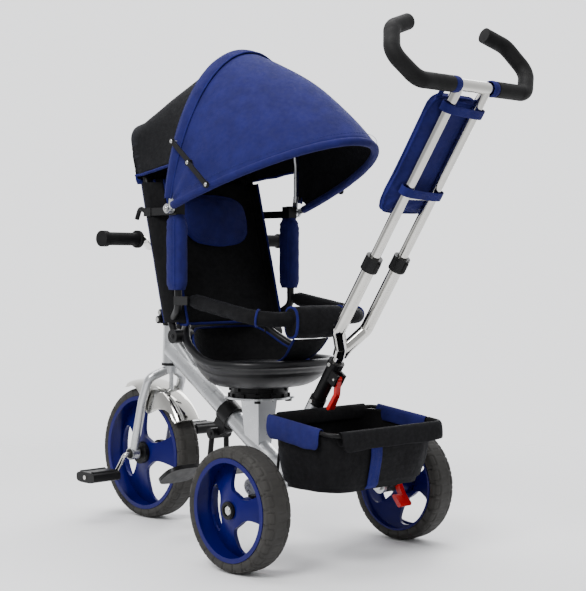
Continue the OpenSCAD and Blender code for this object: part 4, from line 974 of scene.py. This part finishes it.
def hoop():
    path = rounded_path([hoop_p, V(hoop_p[0] + 4, hoop_y, hoop_z), V(-hoop_p[0] - 4, hoop_y, hoop_z),
                         V(-hoop_p[0], hoop_p[1], hoop_p[2])], 62, 4)

    def r(u):
        return 15.0 + 0.9 * wob(u * 30, 0, 4) - 3.5 * (1 - smooth(min(u, 1 - u) / 0.02))

    ob = tube("guard_bar_pad", path, r, M["black_fabric"], "safety_bar", sides=28)
    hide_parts("safety_hoop")
    n = len(path)
    for tag, at in (("left", 0.29), ("right", 0.71)):
        i = int(n * at)
        t, a, b = frames(path)[i]
        c = path[i]
        tube(f"guard_bar_ring_{tag}", [c + 16.3 * (a * math.cos(q) + b * math.sin(q))
                                       for q in np.linspace(0, 2 * math.pi, 49)[:-1]], 2.4, M["blue_trim"],
             "safety_bar", closed=True)
    seam = [p + V(0, 0, 15.4) for p in path[3:-3]]
    stitches("guard_bar_stitches", seam, M["dark_thread"], "safety_bar")

    def cross(x, g, k=72):
        out = []
        for i in range(k):
            t = 2 * math.pi * i / k
            dy, dz = math.cos(t), math.sin(t)
            out.append(V(x, hoop_y + (20 - g) * curve_sign(dy, 0.75), hoop_z - 7 + (33 - g) * curve_sign(dz, 0.85)))
        return out

    pad = grid("front_bumper_pad", [cross(x, g) for x, g in ((-74, 15), (-73, 5), (-66, 1.5), (-40, 0), (0, -0.5),
                                                             (40, 0), (66, 1.5), (73, 5), (74, 15))],
               M["black_fabric"], wrap_cols=True, caps=True)
    puff(pad, 5)
    move_verts(pad, lambda p, n: n * (0.8 * wob(p[0], p[1], p[2], 0.045)))
    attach(pad, "safety_bar")
    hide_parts("bumper_pad")
    for x, tag in ((70, "left"), (-70, "right")):
        line = smooth_path(snap(pad, cross(x, -3, 80), 0.6), 2, True)
        tube(f"bumper_piping_{tag}", line, 3.0, M["blue_trim"], "safety_bar", closed=True)


hoop()


# ---------- basket ----------
b_x, b_y0, b_d = 153.0, rear_y - 10, 186.0
b_y1 = b_y0 + b_d


def rim_z(y):
    return 288 - 22 * (y - b_y0) / b_d


def bag_pt(a, v, out=0.0):
    t = 2 * math.pi * a
    k = mixed(1.0, 0.86, v)
    belly = 5.5 * math.sin(math.pi * v) - 4 * (1 if v > 0.93 else 0)
    cy = (b_y0 + b_y1) / 2 - 8 * v
    px, py = curve_sign(math.cos(t), 0.42), curve_sign(math.sin(t), 0.42)
    y = cy + py * (b_d / 2 * k + belly + out)
    x = px * (b_x * k + belly + out)
    fold = 2.4 * wob(x * 0.035, y * 0.035, v * 2.2) * math.sin(math.pi * min(1, v * 1.1)) \
        + 1.8 * math.sin(x * 0.06 + v * 7 + y * 0.03) * smooth(v * 2) * (1 - v) * 1.2
    y += py * fold
    x += px * fold
    top = rim_z(y) - 2
    return V(x, y, mixed(top, 153 + 2.0 * wob(x * 0.02, y * 0.02, 9), v))


def basket():
    n = 160
    rows = [[bag_pt(i / n, v) for i in range(n)] for v in list(np.linspace(0, 0.94, 24))]
    for s in (0.985, 0.93, 0.8, 0.55, 0.25):
        rows.append([V(p[0] * s, (b_y0 + b_y1) / 2 - 8 + (p[1] - (b_y0 + b_y1) / 2 + 8) * s,
                       153 - 1.5 * (1 - s) + 1.5 * wob(p[0] * 0.03 * s, p[1] * 0.03 * s, 2)) for p in rows[23]])
    verts = [p for r in rows for p in r]
    faces = sheet_faces(len(rows), n, wrap_cols=True) + [tuple((len(rows) - 1) * n + i for i in range(n))]
    ob = make("basket_cloth", verts, faces, M["black_fabric"])
    thick(ob, 2.2, -1, 0)
    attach(ob, "frame")
    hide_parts("basket_bag")

    def rim_path(x0, y0, x1, y1, x2=None, y2=None, x3=None, y3=None):
        pts = [V(x, y, 0) for x, y in ((x0, y0), (x1, y1), (x2, y2), (x3, y3)) if x is not None]
        return [V(p[0], p[1], rim_z(p[1])) for p in rounded_path(pts, 26, 5)]

    def flap(name, path, mat, drop_out, drop_in, wave):
        rows = []
        n = len(path)
        middle = V(0, (b_y0 + b_y1) / 2, 0)
        for j, c in enumerate(path):
            u = j / (n - 1)
            along = path[min(j + 1, n - 1)] - path[max(j - 1, 0)]
            outward = np.cross(along, V(0, 0, 1))
            outward /= np.linalg.norm(outward)
            if np.dot(outward, (c - middle) * V(1, 1, 0)) < 0:
                outward = -outward
            reach = min(u, 1 - u) * (n - 1) * 5
            trim = 13 * (1 - math.sqrt(max(0.0, 1 - (1 - min(1.0, reach / 14)) ** 2)))
            out_z = drop_out - trim + wave * wob(u * 5, 0, 3) * 2
            low_in = drop_in - trim * 0.7
            prof = [(-5.5, -low_in), (-6.0, -low_in * 0.5), (-6.0, -6), (-5.4, 0), (-3.5, 4.6), (0, 6.4), (3.5, 4.6),
                    (5.6, 0), (6.6, -8), (7.4 + wave * wob(u * 6, 1, 0), -out_z * 0.55), (7.2, -out_z)]
            rows.append([c + outward * o + V(0, 0, z) for o, z in prof])
        ob = grid(name, rows, mat)
        thick(ob, 2.0, 1, 1)
        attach(ob, "frame")
        hem = [r[-1] + (r[-2] - r[-1]) * 0.25 + (r[-1] - r[0]) * V(0.05, 0.05, 0) for r in rows[1:-1]]
        stitches(name + "_stitches", hem, M["thread"] if mat == M["blue_fabric"] else M["dark_thread"], "frame")

    e = b_x - 1
    flap("basket_flap_left", rim_path(e, b_y0 + 8, e, b_y1 - 34), M["blue_fabric"], 36, 24, 2.0)
    flap("basket_flap_right", rim_path(-e, b_y0 + 12, -e, b_y1 - 40), M["blue_fabric"], 36, 24, 2.0)
    flap("basket_flap_rear", rim_path(e - 14, b_y1, -e, b_y1, -e, b_y1 - 36), M["black_fabric"], 30, 22,
         2.0)
    flap("basket_flap_front", rim_path(-e + 30, b_y0, e - 30, b_y0), M["black_fabric"], 24, 22, 1.0)
    rows = []
    for j in range(25):
        v = 0.20 + 0.78 * j / 24
        p = bag_pt(0.2405, v, 3.4)
        rows.append([V(42 - 8 * v + x, p[1] + 0.5 * math.cos(x / 3), p[2]) for x in np.linspace(-15.5, 15.5, 9)])
    ob = grid("basket_strip", rows, M["blue_trim"])
    thick(ob, 2.4, 0, 1)
    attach(ob, "frame")


basket()


# ---------- bag on the push handle ----------
def handle_pack():
    t0, t1 = 440.0, 694.0
    tm, hl = (t0 + t1) / 2, (t1 - t0) / 2

    def outline(f, w, h, n=96):
        res = []
        for i in range(n):
            t = 2 * math.pi * i / n
            res.append(on_handle(tm + h * curve_sign(math.sin(t), 0.28), w * curve_sign(math.cos(t), 0.28), f))
        return res

    base = 12.0
    ob = grid("handle_pouch", [outline(base + f, 69 - g, hl - g) for f, g in
                               ((1, 30), (1.5, 6), (5, 1.5), (10, 0.5), (16, 1.5), (21, 8), (24, 26), (25, 50))],
              M["blue_fabric"], wrap_cols=True, caps=True)
    puff(ob, 6)
    move_verts(ob, lambda p, n: n * (1.6 * wob(p[0], p[1], p[2], 0.022) + 0.7 * wob(p[0], p[1], p[2], 0.06)))
    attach(ob, "push_bar")
    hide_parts("handle_bag")
    for f, tag in ((base + 3, "back"), (base + 20, "front")):
        line = smooth_path(snap(ob, outline(f, 72, hl + 3, 160), 0.4), 2, True)
        tube(f"pouch_piping_{tag}", line, 2.1, M["blue_trim"], "push_bar", closed=True)
    line = smooth_path(snap(ob, outline(base + 26, 54, hl - 16, 150), 0.2), 3, True)
    stitches("pouch_stitches", line, M["thread"], "push_bar")
    # two straps round the handle tubes
    for t, tag, wide in ((t0 + 62, "low", 9.0), (t1 - 16, "high", 9.0)):
        loop = []
        for i in range(80):
            a = 2 * math.pi * i / 80
            loop.append((56 * curve_sign(math.cos(a), 0.5), 13.5 * curve_sign(math.sin(a), 0.7)))
        rows = [[on_handle(t + w + 0.06 * x, x, f - 1) for x, f in loop] for w in np.linspace(-wide, wide, 7)]
        st = grid(f"pouch_strap_{tag}", rows, M["blue_trim"], wrap_cols=True)
        thick(st, 2.0, 0, 1)
        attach(st, "push_bar")
    # loops that hang the pouch from the ends of the crossbar
    for side, tag in ((1, "left"), (-1, "right")):
        rows = []
        for j in range(12):
            x = side * (45 + 16 * j / 11)
            swell = 0.9 * math.sin(math.pi * j / 11)
            rows.append([on_handle(725 + (13.6 + swell) * math.cos(a), x, (13.6 + swell) * math.sin(a))
                         for a in np.linspace(0, 2 * math.pi, 41)[:-1]])
        st = grid(f"pouch_loop_{tag}", rows, M["blue_trim"], wrap_cols=True)
        thick(st, 2.0, 0, 1)
        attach(st, "push_bar")
        rows = []
        for j in range(14):
            v = j / 13
            t = mixed(t1 - 8, 722, v)
            rows.append([on_handle(t, side * x, mixed(20, 13.5, v) + 1.5 * math.sin(math.pi * v))
                         for x in np.linspace(46, 60, 7)])
        st = grid(f"pouch_tab_{tag}", rows, M["blue_trim"])
        thick(st, 2.0, 0, 1)
        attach(st, "push_bar")


handle_pack()


# ---------- stage and light ----------
def stage():
    n, rings = 96, 40
    rows = [[V(2600 * (j / rings) * math.cos(2 * math.pi * i / n), 2600 * (j / rings) * math.sin(2 * math.pi * i / n),
             -0.2) for i in range(n)] for j in range(1, rings + 1)]
    rows.insert(0, [V(0.5 * math.cos(2 * math.pi * i / n), 0.5 * math.sin(2 * math.pi * i / n), -0.2)
                    for i in range(n)])
    floor = grid("stage_floor", rows, M["black_fabric"], wrap_cols=True)
    m = bpy.data.materials.new("pale_floor")
    m.use_nodes = True
    nt = m.node_tree
    b = nt.nodes["Principled BSDF"]
    b.inputs["Base Color"].default_value = (0.86, 0.86, 0.87, 1)
    b.inputs["Roughness"].default_value = 0.75
    coord = nt.nodes.new("ShaderNodeTexCoord")
    length = nt.nodes.new("ShaderNodeVectorMath")
    length.operation = "LENGTH"
    nt.links.new(coord.outputs["Object"], length.inputs[0])
    fade = nt.nodes.new("ShaderNodeMapRange")
    fade.interpolation_type = "SMOOTHSTEP"
    fade.inputs["From Min"].default_value = 0.75
    fade.inputs["From Max"].default_value = 2.2
    nt.links.new(length.outputs["Value"], fade.inputs["Value"])
    clear = nt.nodes.new("ShaderNodeBsdfTransparent")
    mix = nt.nodes.new("ShaderNodeMixShader")
    nt.links.new(fade.outputs["Result"], mix.inputs["Fac"])
    nt.links.new(b.outputs["BSDF"], mix.inputs[1])
    nt.links.new(clear.outputs["BSDF"], mix.inputs[2])
    nt.links.new(mix.outputs["Shader"], nt.nodes["Material Output"].inputs["Surface"])
    floor.data.materials[0] = m


stage()
world = bpy.data.worlds.new("studio")
world.use_nodes = True
tree = world.node_tree
back = tree.nodes["Background"]
back.inputs["Color"].default_value = (0.86, 0.865, 0.88, 1)
sky = tree.nodes.new("ShaderNodeTexCoord")
facing = tree.nodes.new("ShaderNodeVectorMath")
facing.operation = "DOT_PRODUCT"
facing.inputs[1].default_value = (-0.688, -0.726, 0.0)
tree.links.new(sky.outputs["Generated"], facing.inputs[0])
glow = tree.nodes.new("ShaderNodeMapRange")
glow.interpolation_type = "SMOOTHSTEP"
for socket, value in (("From Min", -0.3), ("From Max", 0.85), ("To Min", 0.72), ("To Max", 2.2)):
    glow.inputs[socket].default_value = value
tree.links.new(facing.outputs["Value"], glow.inputs["Value"])
tree.links.new(glow.outputs["Result"], back.inputs["Strength"])
scene.world = world


def area(name, where, aim, size, power, colour=(1, 1, 1)):
    light = bpy.data.lights.new(name, "AREA")
    light.shape = "RECTANGLE"
    light.size, light.size_y = size
    light.energy = power
    light.color = colour
    ob = bpy.data.objects.new(name, light)
    scene.collection.objects.link(ob)
    ob.location = where
    ob.rotation_mode = "QUATERNION"
    ob.rotation_quaternion = (Vector(aim) - Vector(where)).to_track_quat("-Z", "Y")


area("key", (2.6, 0.9, 2.8), (0, 0, 0.5), (1.4, 1.4), 130)
area("top", (-0.2, -0.2, 3.0), (0, 0, 0.4), (2.0, 2.0), 60)
area("rim", (-2.6, -1.2, 1.6), (0, 0, 0.6), (0.8, 2.0), 30)
